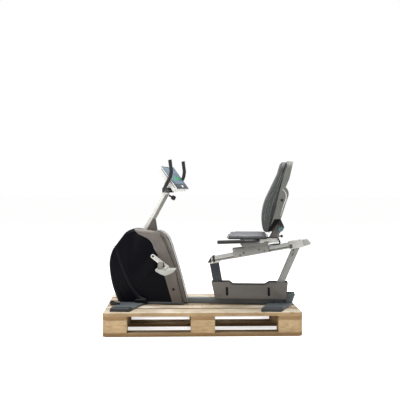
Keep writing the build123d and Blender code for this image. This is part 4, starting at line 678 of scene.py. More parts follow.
    def cut(self, spot: Vector, normal: Vector) -> None:
        """Splits the faces along a plane and takes nothing away."""
        bmesh.ops.bisect_plane(self.bm, geom=self.bm.verts[:] + self.bm.edges[:] + self.bm.faces[:],
                               plane_co=spot, plane_no=normal)

    def copy_of(self, node: str) -> Verts:
        """Starts from a CAD node's mesh, with its loose triangles merged into clean faces.

        Args:
            node: the CAD node.

        Returns:
            All vertices.
        """
        self.bm.from_mesh(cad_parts[node].data)
        bmesh.ops.remove_doubles(self.bm, verts=self.bm.verts[:], dist=2e-6)
        bmesh.ops.dissolve_limit(self.bm, angle_limit=math.radians(0.6), verts=self.bm.verts[:],
                                 edges=self.bm.edges[:], use_dissolve_boundaries=False)
        return self.bm.verts[:]

    def to_mesh(self) -> bpy.types.Mesh:
        """Ends the work on the bench; returns the finished mesh."""
        mesh = bpy.data.meshes.new(self.name)
        self.bm.to_mesh(mesh)
        self.bm.free()
        return mesh

    def done(self, body: str, material: Material, slot: str, smooth: float = 32.0, replaces: Sequence[str] = (),
             second: tuple[Material, Callable[[bmesh.types.BMFace], bool]] | None = None) -> None:
        """Turns the mesh into a finished piece.

        Args:
            body: the CAD body it rides on.
            material: its finish.
            slot: the record's material slot; not used.
            smooth: edges sharper than this many degrees stay sharp.
            replaces: CAD nodes that it stands for.
            second: a second finish, and what tells the faces that get it.
        """
        self.bm.normal_update()
        marks = [second[1](face) for face in self.bm.faces] if second else []
        mesh = self.to_mesh()
        piece = add_object(self.name, mesh)
        mesh.materials.append(material)
        for face in mesh.polygons:
            face.use_smooth = True
            face.material_index = 0
        mesh.set_sharp_from_angle(angle=math.radians(smooth))
        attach(piece, body)
        if replaces:
            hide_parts(*replaces)
        if second:
            mesh.materials.append(second[0])
        for face, mark in zip(mesh.polygons, marks):
            face.material_index = int(mark)
        log.info("%s: %d faces on %s", self.name, len(mesh.polygons), body)


def dress(material: Material, *nodes: str) -> None:
    """Gives CAD nodes a better material.

    Args:
        material: the finish.
        *nodes: names of CAD nodes.
    """
    for name in nodes:
        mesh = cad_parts[name].data
        mesh.materials.clear()
        mesh.materials.append(material)
        log.info("%s: dressed in %s", name, material.name)


def rimmed(node: str, material: Material, slot: str, outward: Callable[[Vector, Vector], bool],
           rim: float, seam: float = 1.3) -> None:
    """A copy of a housing node: a large round on its outer rim, a small one at its joints.

    Args:
        node: the CAD node.
        material: its finish.
        slot: its material slot.
        outward: tells from a wall's normal and middle whether it is an outer wall.
        rim: rounding of the outer rim in millimetres.
        seam: rounding of the other edges in millimetres.
    """
    work = Workpiece(node + "_formed")
    work.copy_of(node)
    work.bm.normal_update()
    outer = []
    for edge in work.bm.edges:
        if len(edge.link_faces) != 2:
            continue
        flat = [f for f in edge.link_faces if abs(f.normal.y) > 0.9]
        walls = [f for f in edge.link_faces if abs(f.normal.y) < 0.3]
        if flat and walls and outward(walls[0].normal, edge.verts[0].co.lerp(edge.verts[1].co, 0.5)):
            outer.append(edge)
    work.bevel(outer, rim, 5)
    work.round_edges(work.bm.verts[:], seam, 2, 50.0)
    work.done("frame", material, slot, 40.0, (node,))


def rounded(node: str, body: str, material: Material, slot: str, edge: float, segments: int = 2,
            sharper_than: float = 25.0,
            second: tuple[Material, Callable[[bmesh.types.BMFace], bool]] | None = None) -> None:
    """A copy of a CAD node with real rounded edges, which stands for the node.

    Args:
        node: the CAD node.
        body: its body.
        material: its finish.
        slot: its material slot.
        edge: rounding in millimetres.
        segments: steps of the rounding.
        sharper_than: the least angle that is rounded, in degrees.
        second: a second finish, and what tells the faces that get it.
    """
    work = Workpiece(node + "_formed")
    work.round_edges(work.copy_of(node), edge, segments, sharper_than)
    work.done(body, material, slot, 35.0, (node,), second)


# ------------------------------------------------------------------ studio
@dataclass
class Studio:
    """Floor, soft lights and the camera, in metres."""

    camera_place: tuple[float, float, float] = (0.3484, -4.8081, 0.8953)
    camera_turn: tuple[float, float, float] = (89.008, 0.0, 4.183)
    lens: float = 67.09
    sensor: float = 36.0
    sky: float = 0.36
    floor_glow: float = 0.66
    floor_half: float = 60.0
    aim: tuple[float, float, float] = (0.0, 0.0, 0.6)
    lamps: tuple[tuple[str, tuple[float, float, float], float, float], ...] = (     # name, place, side, watts
        ("key lamp", (-1.9, -2.2, 4.0), 2.4, 118.0),
        ("top lamp", (0.4, 0.6, 4.2), 3.0, 190.0),
        ("fill lamp", (3.2, -2.6, 2.6), 2.6, 22.0))

    def build(self) -> None:
        """Sets up everything that isn't part of the bike."""
        self.floor()
        self.world()
        for row in self.lamps:
            self.lamp(*row)
        self.camera()
        bpy.context.scene.view_settings.view_transform = "Standard"

    def seen(self, tree: bpy.types.NodeTree) -> Socket:
        """One where the camera itself looks, zero for every bounce."""
        return add_node(tree, "LightPath").outputs["Is Camera Ray"]

    def floor(self) -> None:
        """A wide pale floor that keeps the bike's shadow."""
        work = Workpiece("studio_floor")
        bmesh.ops.create_grid(work.bm, x_segments=1, y_segments=1, size=self.floor_half)
        mesh = work.to_mesh()
        floor = add_object(work.name, mesh)
        material = bpy.data.materials.new("pale studio floor")
        tree = empty_tree(material)
        plain = add_node(tree, "BsdfDiffuse", {"Color": linear("#f4f4f3")}).outputs[0]
        strength = add_node(tree, "Math", {0: self.seen(tree), 1: self.floor_glow},
                            operation="MULTIPLY").outputs[0]
        glow = add_node(tree, "Emission", {"Strength": strength}).outputs[0]
        both = add_node(tree, "AddShader", {0: plain, 1: glow}).outputs[0]
        add_node(tree, "OutputMaterial", {"Surface": both})
        mesh.materials.append(material)

    def world(self) -> None:
        """An even sky that is white where it is seen."""
        world = bpy.data.worlds.new("studio")
        bpy.context.scene.world = world
        tree = empty_tree(world)
        strength = add_node(tree, "MapRange", {
            "Value": self.seen(tree), "To Min": self.sky, "To Max": 1.0}).outputs[0]
        back = add_node(tree, "Background", {"Color": (1, 1, 1, 1), "Strength": strength})
        add_node(tree, "OutputWorld", {"Surface": back.outputs[0]})

    def lamp(self, name: str, spot: Sequence[float], size: float, watts: float) -> None:
        """Adds a square soft light that looks at the bike.

        Args:
            name: the lamp's name.
            spot: its place in metres.
            size: its side in metres.
            watts: its power.
        """
        data = bpy.data.lights.new(name, "AREA")
        data.shape, data.size, data.energy = "SQUARE", size, watts
        lamp = add_object(name, data)
        lamp.location = spot
        lamp.rotation_euler = (Vector(self.aim) - Vector(spot)).to_track_quat("-Z", "Y").to_euler()

    def camera(self) -> None:
        """The camera: side on, a little above the handlebar, from some way off."""
        data = bpy.data.cameras.new("camera")
        data.lens, data.sensor_width = self.lens, self.sensor
        camera = add_object("camera", data)
        camera.location = self.camera_place
        camera.rotation_euler = [math.radians(a) for a in self.camera_turn]
        bpy.context.scene.camera = camera


# ------------------------------------------------------------------ pallet
@dataclass
class PalletDress:
    """The pallet: each board gets its own shade of wood, worn edges and nails."""

    paints: Paints
    yaw: float = 6.0
    offset_y: float = 25.0
    length: float = 1200.0
    width: float = 800.0
    block_length: float = 145.0
    deck_widths: tuple[float, ...] = (145.0, 100.0, 145.0, 100.0, 145.0)
    worn_edge: float = 2.5
    nail_r: float = 4.0
    nail_rise: float = 0.7
    nail_low: float = 0.2           # seat of a nail below the deck's top
    nail_in: float = 22.0           # from a board's long edge
    nail_step: float = 30.0
    nail_stray: float = 8.0
    seed: int = 7
    top_gain: float = 1.6           # a face counts as a top from its normal's Z times this,
    top_from: float = 0.4           # less this

    def build(self) -> None:
        """Builds the boards and the nails."""
        chance = random.Random(self.seed)
        for node, material in (("pallet_deck_boards", self.paints.pine_long),
                               ("pallet_bottom_boards", self.paints.pine_low_shaded),
                               ("pallet_blocks", self.paints.pine_block),
                               ("pallet_stringer_boards", self.paints.pine_cross)):
            self.boards(node, material, chance)
        self.nails(chance)

    def joined(self, seed: bmesh.types.BMVert) -> set[bmesh.types.BMVert]:
        """Follows the edges from one vertex of a board.

        Args:
            seed: the vertex.

        Returns:
            Every vertex of that board.
        """
        reached, open_ends = {seed}, [seed]
        while open_ends:
            vertex = open_ends.pop()
            for link in vertex.link_edges:
                other = link.other_vert(vertex)
                if other not in reached:
                    reached.add(other)
                    open_ends.append(other)
        return reached

    def boards(self, node: str, material: Material, chance: random.Random) -> None:
        """Rounds one layer's edges, numbers its boards and marks what faces up.

        Args:
            node: the CAD node.
            material: the wood.
            chance: the seeded numbers.
        """
        work = Workpiece(node + "_sawn")
        work.round_edges(work.copy_of(node), self.worn_edge)
        shade = work.bm.verts.layers.float.new("board")
        left = set(work.bm.verts)
        while left:
            board = self.joined(min(left, key=lambda v: [round(value, 4) for value in v.co]))
            number = chance.random()
            for vertex in board:
                vertex[shade] = number
            left -= board
        # how far each face looks up: tops get the top colour and bleaching, the rest the side colour as painted
        # shade
        upward = work.bm.faces.layers.float.new("top")
        work.bm.normal_update()
        for face in work.bm.faces:
            face[upward] = min(1.0, max(0.0, face.normal.z * self.top_gain - self.top_from))
        work.done("frame", material, "pine", 35.0, (node,))

    def rows(self, widths: Sequence[float], total: float) -> list[float]:
        """Spreads rows of boards evenly.

        Args:
            widths: the width of each row.
            total: the width they fill.

        Returns:
            The middle of each row, from the middle of the total.
        """
        gap = (total - sum(widths)) / (len(widths) - 1)
        starts = [sum(widths[:i]) + gap * i - total / 2 for i in range(len(widths))]
        return [start + width / 2 for start, width in zip(starts, widths)]

    def nails(self, chance: random.Random) -> None:
        """Three nails where each deck board crosses a cross board, a little out of line.

        Args:
            chance: the seeded numbers.
        """
        work = Workpiece("pallet_nails")
        turn = Matrix.Rotation(math.radians(self.yaw), 4, "Z")
        seat = point(0, self.offset_y, DECK - self.nail_low)
        for x in self.rows((self.block_length,) * 3, self.length):
            for y, width in zip(self.rows(self.deck_widths, self.width), self.deck_widths):
                for step in (-1, 0, 1):
                    stray = chance.uniform(-self.nail_stray, self.nail_stray)
                    spot = point(x + self.nail_step * step * (-1) ** step + stray,
                                 y + step * (width / 2 - self.nail_in), 0)
                    work.washer(turn @ spot + seat, Vector((0, 0, 1)), self.nail_r, self.nail_rise)
        work.done("frame", self.paints.nail, "pine")


# ------------------------------------------------------------------ plain pieces that keep their CAD shape
@dataclass
class Formed:
    """CAD nodes that get true rounded edges, or only a finish where they have them already."""

    paints: Paints

    def build(self) -> None:
        """Rounds and dresses the nodes."""
        p = self.paints
        table = (  # node, body, finish, slot, rounding in millimetres
            ("front_stabilizer", "frame", p.slate, "slate_paint", 1.2),
            ("rear_stabilizer", "frame", p.slate, "slate_paint", 1.2),
            ("main_beam", "frame", p.beam_slate, "slate_paint", 2.5),
            ("foot_end_caps", "frame", p.foot_cap_shaded, "black_plastic", 3.0),
            ("base_box", "frame", p.box_grey, "box_paint", 1.2),
            ("front_post", "frame", p.dark, "dark_paint", 4.0),
            ("rear_post", "frame", p.post_grey, "light_grey_paint", 4.0),
            ("rail_sleeve", "frame", p.sleeve_grey, "light_grey_paint", 3.0),
            ("rail_stop", "frame", p.black_plastic, "black_plastic", 1.2),
            ("lift_handle", "frame", p.slate, "slate_paint", 1.0),
            ("carriage_box", "carriage", p.silver, "silver_paint", 1.5),
            ("seat_frame", "carriage", p.frame_grey, "silver_paint", 1.5),
            ("seat_side_brackets", "carriage", p.pale, "light_grey_paint", 0.8),
            ("hinge_plates", "carriage", p.plate_grey, "silver_paint", 1.0),
            ("slide_lever", "carriage", p.black_plastic, "black_plastic", 1.0),
            ("back_arms", "backrest", p.black, "dark_paint", 1.0),
            ("console_arm", "head", p.pale, "light_grey_paint", 3.0),
            ("crank_set", "crank", p.crank, "polished_aluminium", 1.5),
        )
        for row in table:
            rounded(*row)
        dress(p.rubber, "foot_pads")
        dress(p.black_plastic, "carriage_glides", "seat_pan", "ball_knob")
        dress(p.mast_light, "mast_collar")
        dress(p.rail, "seat_rail")
        dress(p.black, "side_handles", "handlebar", "head_hub", "wheel_brackets")
        dress(p.iron, "flywheel_drive_block")


# ------------------------------------------------------------------ floor frame
@dataclass
class FloorFrame:
    """Small parts of the floor frame: bolts on the feet, weld beads and the transport wheels' hubs."""

    paints: Paints
    beam_half: float = 25.0
    beam_top: float = 37.0
    box_half: float = 52.0
    slot_x: tuple[float, ...] = (174.0, 440.0)
    slot_bottom: float = 21.0
    slot_height: float = 54.0
    slot_lean: float = -2.0
    plug_round: float = 3.5
    plug_half: float = 8.2
    plug_over: float = 1.5          # how far a plug's flange reaches past its slot
    plug_depth: float = 6.0
    plug_out: float = 0.9
    foot_top: float = 13.0
    foot_bolts_x: tuple[float, ...] = (-470.0, -380.0, 470.0, 545.0)
    bolt_y: float = 45.0
    bolt_head: Pair = (6.5, 4.0)    # radius, height
    beads: tuple[Pair, ...] = ((-485.0, -345.0), (440.0, 555.0))
    bead_out: float = 0.4
    bead_r: float = 2.4
    wheel_x: float = -545.0
    wheel_height: float = 21.0
    wheel_y: float = 175.0
    wheel_r: float = 15.0
    wheel_width: float = 14.0
    wheel_bore: float = 4.05

    def build(self) -> None:
        """Builds the bolts, beads and wheels."""
        bolts = Workpiece("foot_bolts")
        beads = Workpiece("weld_beads")
        for x in self.foot_bolts_x:
            for side, _ in SIDES:
                bolts.bolt(place(x, side * self.bolt_y, self.foot_top), Vector((0, 0, 1)), *self.bolt_head)
        for span in self.beads:
            for side, _ in SIDES:
                beads.tube([place(x, side * (self.beam_half + self.bead_out), self.foot_top + self.bead_out)
                            for x in span], self.bead_r, 3, False)
        self.slot_plugs()
        bolts.done("frame", self.paints.bolt, "slate_paint")
        beads.done("frame", self.paints.slate, "slate_paint")
        for side, name in SIDES:
            self.wheel(side, name)

    def slot_plugs(self) -> None:
        """Black plugs in the box's slots, each with a flange on the face."""
        work = Workpiece("slot_plugs_flanged")
        low = self.beam_top + self.slot_bottom - self.plug_over
        middle = point(0, 0, low + self.slot_height / 2)
        lean = Matrix.Rotation(math.radians(self.slot_lean), 4, "Y")
        leaning = Matrix.Translation(middle) @ lean @ Matrix.Translation(-middle)
        for side, _ in SIDES:
            for x in self.slot_x:
                work.block((-self.plug_half, self.plug_half),
                           (self.box_half - self.plug_depth, self.box_half + self.plug_out),
                           (low, low + self.slot_height + 2 * self.plug_over), self.plug_round, 4,
                           Matrix.Translation(place(x, 0, 0)) @ leaning, side)
        work.done("frame", self.paints.slot_black, "black_plastic", 40.0, ("slot_plugs",))

    def wheel(self, side: int, name: str) -> None:
        """One transport wheel: a rounded tyre on a recessed hub.

        Args:
            side: −1 on the left, 1 on the right.
            name: left or right.
        """
        centre = place(self.wheel_x, side * self.wheel_y, self.wheel_height)
        r, half, bore = self.wheel_r, self.wheel_width / 2, self.wheel_bore
        face = [(bore, half), (r * 0.52, half), (r * 0.56, half * 0.7), (r * 0.72, half * 0.7),
                (r * 0.78, half), (r * 0.93, half), (r, half * 0.55)]
        body = f"transport_wheel_{name}"
        work = Workpiece(body + "_turned")
        work.turned([(out, -across) for out, across in face] + face[::-1] + [(bore, -half)], centre,
                    sideways(1), 48)
        work.done(body, self.paints.rubber, "black_rubber", 40.0, (body,))
        hub = Workpiece(body + "_hub")
        for way, _ in SIDES:
            hub.turned([(bore, 0), (bore, 0.6), (r * 0.46, 0.6), (r * 0.5, 0), (bore, 0)],
                       centre + sideways(way) * half * MM, sideways(way), 32)
        hub.done(body, self.paints.hub_grey, "black_rubber")


# ------------------------------------------------------------------ drive housing
@dataclass
class DriveHousing:
    """The housing's covers, shells and spine, with the moulded ribs, the spine's sides in painted shade, and dark
    joint lines that are painted shadow.
    """

    paints: Paints
    half_width: float = 75.0
    # a leg-like rib runs down each cover: x, height above the deck, how far its middle stands
    # out from the cover's face, radius
    rib: tuple[Rect, ...] = (
        (-541.0, 372.0, -14.0, 11.0), (-534.0, 345.0, -9.0, 12.0), (-520.0, 303.0, -7.0, 12.5),
        (-492.0, 227.0, -6.0, 13.0), (-456.0, 147.0, -5.0, 13.5), (-418.0, 84.0, -2.0, 14.5),
        (-385.0, 42.0, 6.0, 15.5), (-357.0, 31.0, 15.0, 15.0), (-338.0, 29.5, 19.0, 13.0))
    rib_low: float = 13.6
    line: Line = (
        (-566.0, 300.0), (-556.0, 245.0), (-538.0, 180.0), (-510.0, 110.0), (-482.0, 55.0), (-470.0, 30.0))
    edge_line: Line = (
        (-252.0, 449.0), (-229.0, 413.0), (-196.0, 333.0), (-163.0, 249.0), (-133.0, 125.0), (-106.0, 16.0))
    spine_half: float = 48.0
    spine_edge: Line = (
        (-219.0, 444.0), (-194.0, 399.0), (-165.0, 312.0), (-136.0, 222.0), (-108.0, 110.0), (-84.0, 16.0))
    cover_top_x: float = -400.0
    rim_round: float = 9.0
    shell_round: float = 14.0
    toe: tuple[Pair, Pair, Pair] = ((-414.0, -334.0), (-4.0, 40.0), (13.0, 39.0))     # x, out, height
    sill: tuple[Pair, Pair, Pair] = ((-338.0, -100.0), (-1.0, 1.6), (4.0, 16.0))      # x, out, height
    toe_round: float = 11.5
    sill_round: float = 0.8
    groove_in: float = 0.6          # how deep the middle of a line lies
    cover_line_r: float = 2.6
    shell_line_r: float = 1.9
    spine_line_r: float = 1.7
    port: Pair = (-168.0, 97.0)
    port_r: float = 8.5

    def build(self) -> None:
        """Builds both sides."""
        p = self.paints
        for side, name in SIDES:
            rimmed(f"housing_cover_{name}", p.cover, "gloss_black_plastic",
                   lambda wall, at: wall.x < -0.25 or (wall.z > 0.5 and at.x < self.cover_top_x * MM),
                   self.rim_round)
            rimmed(f"housing_shell_{name}", p.taupe, "taupe_plastic",
                   lambda wall, at: wall.z > 0.9 and at.x > self.cover_top_x * MM, self.shell_round)
            self.side(side, name)
        # the spine's side faces get a darker finish: painted shade
        rounded("housing_spine", "frame", p.spine, "light_grey_paint", 1.0, 2, 45.0,
                (p.spine_side_shade, lambda face: abs(face.normal.y) > 0.7))

    def on_face(self, work: Workpiece, ranges: tuple[Pair, Pair, Pair], edge: float, segments: int,
                side: int) -> None:
        """Adds a block to one side, by its ranges along X, out from the face and above the deck."""
        xs, outs, heights = ranges
        work.block(xs, (self.half_width + outs[0], self.half_width + outs[1]),
                   (DECK + heights[0], DECK + heights[1]), edge, segments, None, side)

    def side(self, side: int, name: str) -> None:
        """Rib, sill, dark joint lines of painted shadow and the round port of one side.

        Args:
            side: −1 on the left, 1 on the right.
            name: left or right.
        """
        p = self.paints
        groove = side * (self.half_width - self.groove_in)
        rib = Workpiece(f"cover_rib_{name}")
        rib.tube([place(x, side * (self.half_width + out), h) for x, h, out, _ in self.rib],
                 [r for _, _, _, r in self.rib], 6)
        for vertex in rib.bm.verts:
            vertex.co.z = max(vertex.co.z, (DECK + self.rib_low) * MM)
        rib.tube([place(x, groove, h) for x, h in self.line], self.cover_line_r, 3)
        self.on_face(rib, self.toe, self.toe_round, 5, side)
        rib.done("frame", p.cover_rib, "gloss_black_plastic", 60.0)
        sill = Workpiece(f"housing_sill_{name}")
        self.on_face(sill, self.sill, self.sill_round, 2, side)
        sill.done("frame", p.slate, "slate_paint")
        lines = Workpiece(f"shell_lines_{name}")
        # dark lines at the shell's rear edge and along the spine: painted shadow in the joints
        lines.tube([place(x, groove, h) for x, h in self.edge_line], self.shell_line_r, 3)
        lines.tube([place(x, side * (self.spine_half - 0.4), h) for x, h in self.spine_edge], self.spine_line_r, 3)
        r = self.port_r
        lines.recess(place(self.port[0], side * self.half_width, self.port[1]), sideways(side),
                     (r * 0.7, r * 0.8, r, r + 0.8), (1.6, 1.2), 36)
        lines.done("frame", p.seam_dark, "taupe_plastic")


# ------------------------------------------------------------------ crank and pedals
@dataclass
class Pedals:
    """The pedals' boat-shaped bodies and straps, and the caps on the crank."""

    paints: Paints
    crank_x: float = -295.0
    crank_height: float = 312.0
    arm_face: float = 120.0
    cap_r: float = 7.0
    tread_first: float = 4.0        # behind the strap
    tread_pitch: float = 8.0
    tread_width: float = 3.0
    tread_clear: float = 16.0       # least distance from the pedal's rear end
    tread_inset: float = 12.0
    treads_most: int = 6

    def build(self) -> None:
        """Builds both sides."""
        caps = Workpiece("crank_caps")
        for side, name in SIDES:
            rounded(f"pedal_body_{name}", f"pedal_{name}", self.paints.pedal, "light_grey_plastic", 3.0)
            rounded(f"pedal_strap_{name}", f"pedal_{name}", self.paints.strap, "light_grey_plastic", 0.8)
            self.treads(name)
            caps.washer(place(self.crank_x, side * self.arm_face, self.crank_height), sideways(side),
                        self.cap_r, 1.2)
        caps.done("crank", self.paints.bolt, "polished_aluminium")

    def treads(self, name: str) -> None:
        """Raised ribs across the top of one pedal, which a foot grips.

        Args:
            name: left or right.
        """
        low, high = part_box(f"pedal_body_{name}")
        _, strap_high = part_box(f"pedal_strap_{name}")
        work = Workpiece(f"pedal_treads_{name}")
        top = self.top_of(f"pedal_body_{name}") / MM
        ys = (low[1] / MM + self.tread_inset, high[1] / MM - self.tread_inset)
        for step in range(self.treads_most):
            x = strap_high[0] / MM + self.tread_first + self.tread_pitch * step
            if x > high[0] / MM - self.tread_clear:
                break
            work.block((x, x + self.tread_width), ys, (top - 0.5, top + 1.2), 0.5, 1)
        work.done(f"pedal_{name}", self.paints.pedal, "light_grey_plastic")

    def top_of(self, node: str) -> float:
        """Finds the widest level face of a node.

        Args:
            node: the CAD node.

        Returns:
            The face's height in metres.
        """
        heights = {}
        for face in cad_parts[node].data.polygons:
            if face.normal.z > 0.95:
                key = round(face.center.z, 3)
                heights[key] = heights.get(key, 0.0) + face.area
        return max(heights, key=heights.get)


# ------------------------------------------------------------------ mast and head
@dataclass
class MastAndHead:
    """Mast, boot, clamp knob, console and grips."""

    paints: Paints
    lean: float = 28.3
    mast_x: float = -226.6
    mast_height: float = 704.0
    clamp_rise: float = 5.0
    stem_from: float = 25.0
    knob_out: float = 44.0
    knob_length: float = 28.0
    knob_r: float = 12.6
    lobes: int = 8
    lobe_r: float = 2.9
    stem_r: float = 6.0
    swivel: float = -9.5
    console_back: float = 65.5
    console_height: float = 811.0
    console_tilt: float = 53.5
    face_width: float = 286.0
    face_height: float = 182.0
    screen_margin: float = 2.0
    joint_r: float = 1.4
    joint_depth: float = 8.5        # below the face
    ledge_share: float = 0.62       # of the face's width
    # rectangles on the console's face: left, right, bottom and top from its middle
    bar_left: float = -46.0
    bar_low: float = -18.0
    bar_pitch: float = 11.5
    bar_width: float = 9.5
    bar_heights: tuple[float, ...] = (12, 18, 25, 19, 28, 22, 30, 24, 17, 26, 20, 14)
    readouts: tuple[Rect, ...] = (
        (-126, -66, 36, 56), (-126, -66, 8, 28), (-126, -66, -20, 0), (-46, 40, 36, 54), (52, 118, 36, 54),
        (-46, 92, -40, -28))
    keys: tuple[Rect, ...] = tuple((left, left + 24, -76, -64) for left in (-118, -78, -38, 42, 82))
    button: Rect = (0, 32, -77, -62)
    grip_r: float = 12.5
    grip_slim: float = 1.4
    plug_under: float = 0.6         # how much slimmer than its grip an end plug is
    grip_lean: float = -0.12

    def build(self) -> None:
        """Builds the mast, the boot, the knob, the console and the grips."""
        p = self.paints
        # the mast's rear half is painted shade, the boot's front half a painted highlight
        self.two_tone("mast_tube", "light_grey_paint", p.mast_light, p.mast_rear_shade, 0.5, 0.6)
        self.two_tone("mast_boot", "taupe_plastic", p.boot_front_highlight, p.boot_dark, 2.0, 1.5)
        self.clamp_knob()
        rounded("console_shell", "head", p.white, "white_plastic", 2.5, 3)
        self.console_face()
        self.console_side_lines()
        self.grips()

    def rearward(self) -> Vector:
        """The unit vector square to the mast, to the rear and down."""
        slope = math.radians(self.lean)
        return Vector((math.cos(slope), 0, -math.sin(slope)))

    def two_tone(self, node: str, slot: str, front: Material, rear: Material, shift: float,
                 edge: float) -> None:
        """Splits a leaning piece along its middle into a lighter front half and a darker rear half, as painted
        light: shade on the mast's rear, a highlight on the boot's front.

        Args:
            node: the CAD node.
            slot: its material slot.
            front: finish of the front.
            rear: finish of the rear.
            shift: how far the split lies behind the mast's middle line, in millimetres.
            edge: rounding of the edges in millimetres.
        """
        normal = self.rearward()
        on_line = place(self.mast_x, 0, self.mast_height) + normal * shift * MM
        work = Workpiece(node + "_formed")
        work.round_edges(work.copy_of(node), edge, 2, 45.0)
        work.cut(on_line, normal)
        work.done("frame", front, slot, 35.0, (node,),
                  (rear, lambda face: (face.calc_center_median() - on_line).dot(normal) > 0))

    def clamp_knob(self) -> None:
        """A lobed knob on a plain stem."""
        axis, across = self.rearward(), sideways(1)
        up = axis.cross(across)
        start = place(self.mast_x, 0, self.mast_height + self.clamp_rise)
        base = start + axis * self.knob_out * MM
        tip = start + axis * (self.knob_out + self.knob_length) * MM
        work = Workpiece("clamp_knob_lobed")
        work.rod(start + axis * self.stem_from * MM, base + axis * MM, self.stem_r, 24)
        r = self.knob_r
        work.turned([(0, 0), (r * 0.72, 0), (r * 0.92, 2), (r, 6), (r, 22), (r * 0.9, 26), (r * 0.6, 28),
                     (0, 28)], base, axis, 48)
        for step in range(self.lobes):
            angle = math.tau * step / self.lobes
            arm = (across * math.cos(angle) + up * math.sin(angle)) * (r - 0.7) * MM
            work.rod(base + arm + axis * 3 * MM, tip + arm - axis * 4 * MM, self.lobe_r, 14, 0.8)
        work.done("frame", self.paints.black_plastic, "black_plastic", 40.0, ("clamp_knob",))

    def face_matrix(self) -> Matrix:
        """Matrix from the console's face (x to the right side, y up the face, z out) to the world."""
        turn = Matrix.Rotation(math.radians(self.swivel), 4, "Z")
        origin = place(self.mast_x, 0, self.console_height) + (turn @ point(self.console_back, 0, 0))
        tilt = math.radians(self.console_tilt)
        out = turn @ Vector((math.sin(tilt), 0, math.cos(tilt)))
        right = turn @ sideways(1)
        basis = Matrix((right, out.cross(right), out)).transposed().to_4x4()
        return Matrix.Translation(origin) @ basis

    def panels(self, name: str, material: Material, slot: str, rects: Sequence[Rect], low: float, high: float,
               edge: float, segments: int, smooth: float = 32.0, replaces: Sequence[str] = ()) -> None:
        """Plates on the console's face, as one piece.

        Args:
            name: the piece's name.
            material: its finish.
            slot: its material slot.
            rects: left, right, bottom and top of each plate, in millimetres from the face's middle.
            low: their underside above the face.
            high: their top above the face.
            edge: rounding in millimetres.
            segments: steps of the rounding.
            smooth: edges sharper than this many degrees stay sharp.
            replaces: CAD nodes that it stands for.
        """
        work = Workpiece(name)
        matrix = self.face_matrix()
        for left, right, bottom, top in rects:
            work.block((left, right), (bottom, top), (low, high), edge, segments, matrix)
        work.done("head", material, slot, smooth, replaces)

    def console_face(self) -> None:
        """Bezel, display, a graph of lit bars, readouts, keys and a button."""
        p = self.paints
        half_w = self.face_width / 2 - self.screen_margin
        half_h = self.face_height / 2 - self.screen_margin
        display = (-half_w + 7, half_w - 12, -half_h + 40, half_h - 7)
        lefts = [self.bar_left + index * self.bar_pitch for index in range(len(self.bar_heights))]
        bars = [(left, left + self.bar_width, self.bar_low, self.bar_low + height)
                for left, height in zip(lefts, self.bar_heights)]
        for row in (  # name, finish, slot, rectangles, underside, top, rounding, its steps
                ("console_bezel", p.bezel, "screen_blue", [(-half_w, half_w, -half_h, half_h)], -2.0, 1.2,
                 1.0, 2, 35.0, ("console_screen",)),
                ("console_display", p.screen, "screen_blue", [display], 0.8, 1.7, 0.6, 2, 35.0),
                ("console_graph", p.green, "screen_blue", bars, 1.5, 2.1, 0.15, 1),
                ("console_readouts", p.screen_pale, "screen_blue", self.readouts, 1.5, 2.0, 0.2, 1),
                ("console_keys", p.key_grey, "screen_blue", self.keys, 1.0, 2.8, 1.0, 2),
                ("console_button", p.white, "white_plastic", [self.button], 1.0, 3.6, 2.0, 3)):
            self.panels(*row)

    def console_side_lines(self) -> None:
        """The dark joint line between the console's two halves, and a ledge above the screen."""
        matrix = self.face_matrix()
        half_w, half_h = self.face_width / 2, self.face_height / 2
        line = Workpiece("console_joint_line")
        for side, _ in SIDES:
            line.tube([matrix @ point(side * (half_w - 0.3), y, -self.joint_depth)
                       for y in (16 - half_h, 0, half_h - 16)], self.joint_r, 2, False)
        line.done("head", self.paints.seam_dark, "white_plastic")
        self.panels("console_ledge", self.paints.white, "white_plastic",
                    [(-half_w * self.ledge_share, half_w * self.ledge_share, half_h - 7, half_h - 1)],
                    -3, 5, 1.5, 3)

    def grips(self) -> None:
        """Foam sleeves, a little thinner than their solids, with domed plugs in the ends."""
        work = Workpiece("handlebar_foam")
        work.copy_of("handlebar_grips")
        work.bm.normal_update()
        for vertex in work.bm.verts:
            vertex.co -= vertex.normal * self.grip_slim * MM
        top = max(v.co.z for v in work.bm.verts)
        tips = []
        for side, _ in SIDES:
            rim = [v.co.copy() for v in work.bm.verts if v.co.y * side > 0 and v.co.z > top - 22 * MM]
            rim = [co for co in rim if co.z > max(c.z for c in rim) - 3 * MM]
            tips.append(sum(rim, Vector()) / len(rim))
        work.done("head", self.paints.foam, "black_foam", 45.0, ("handlebar_grips",))
        plugs = Workpiece("handlebar_end_plugs")
        r = self.grip_r - self.grip_slim - self.plug_under
        for tip in tips:
            plugs.turned([(0, 2.4), (r * 0.5, 2.2), (r * 0.86, 1.2), (r, -0.8), (0, -0.8)],
                         tip, Vector((self.grip_lean, 0, 1)).normalized(), 36)
        plugs.done("head", self.paints.black_plastic, "black_foam")


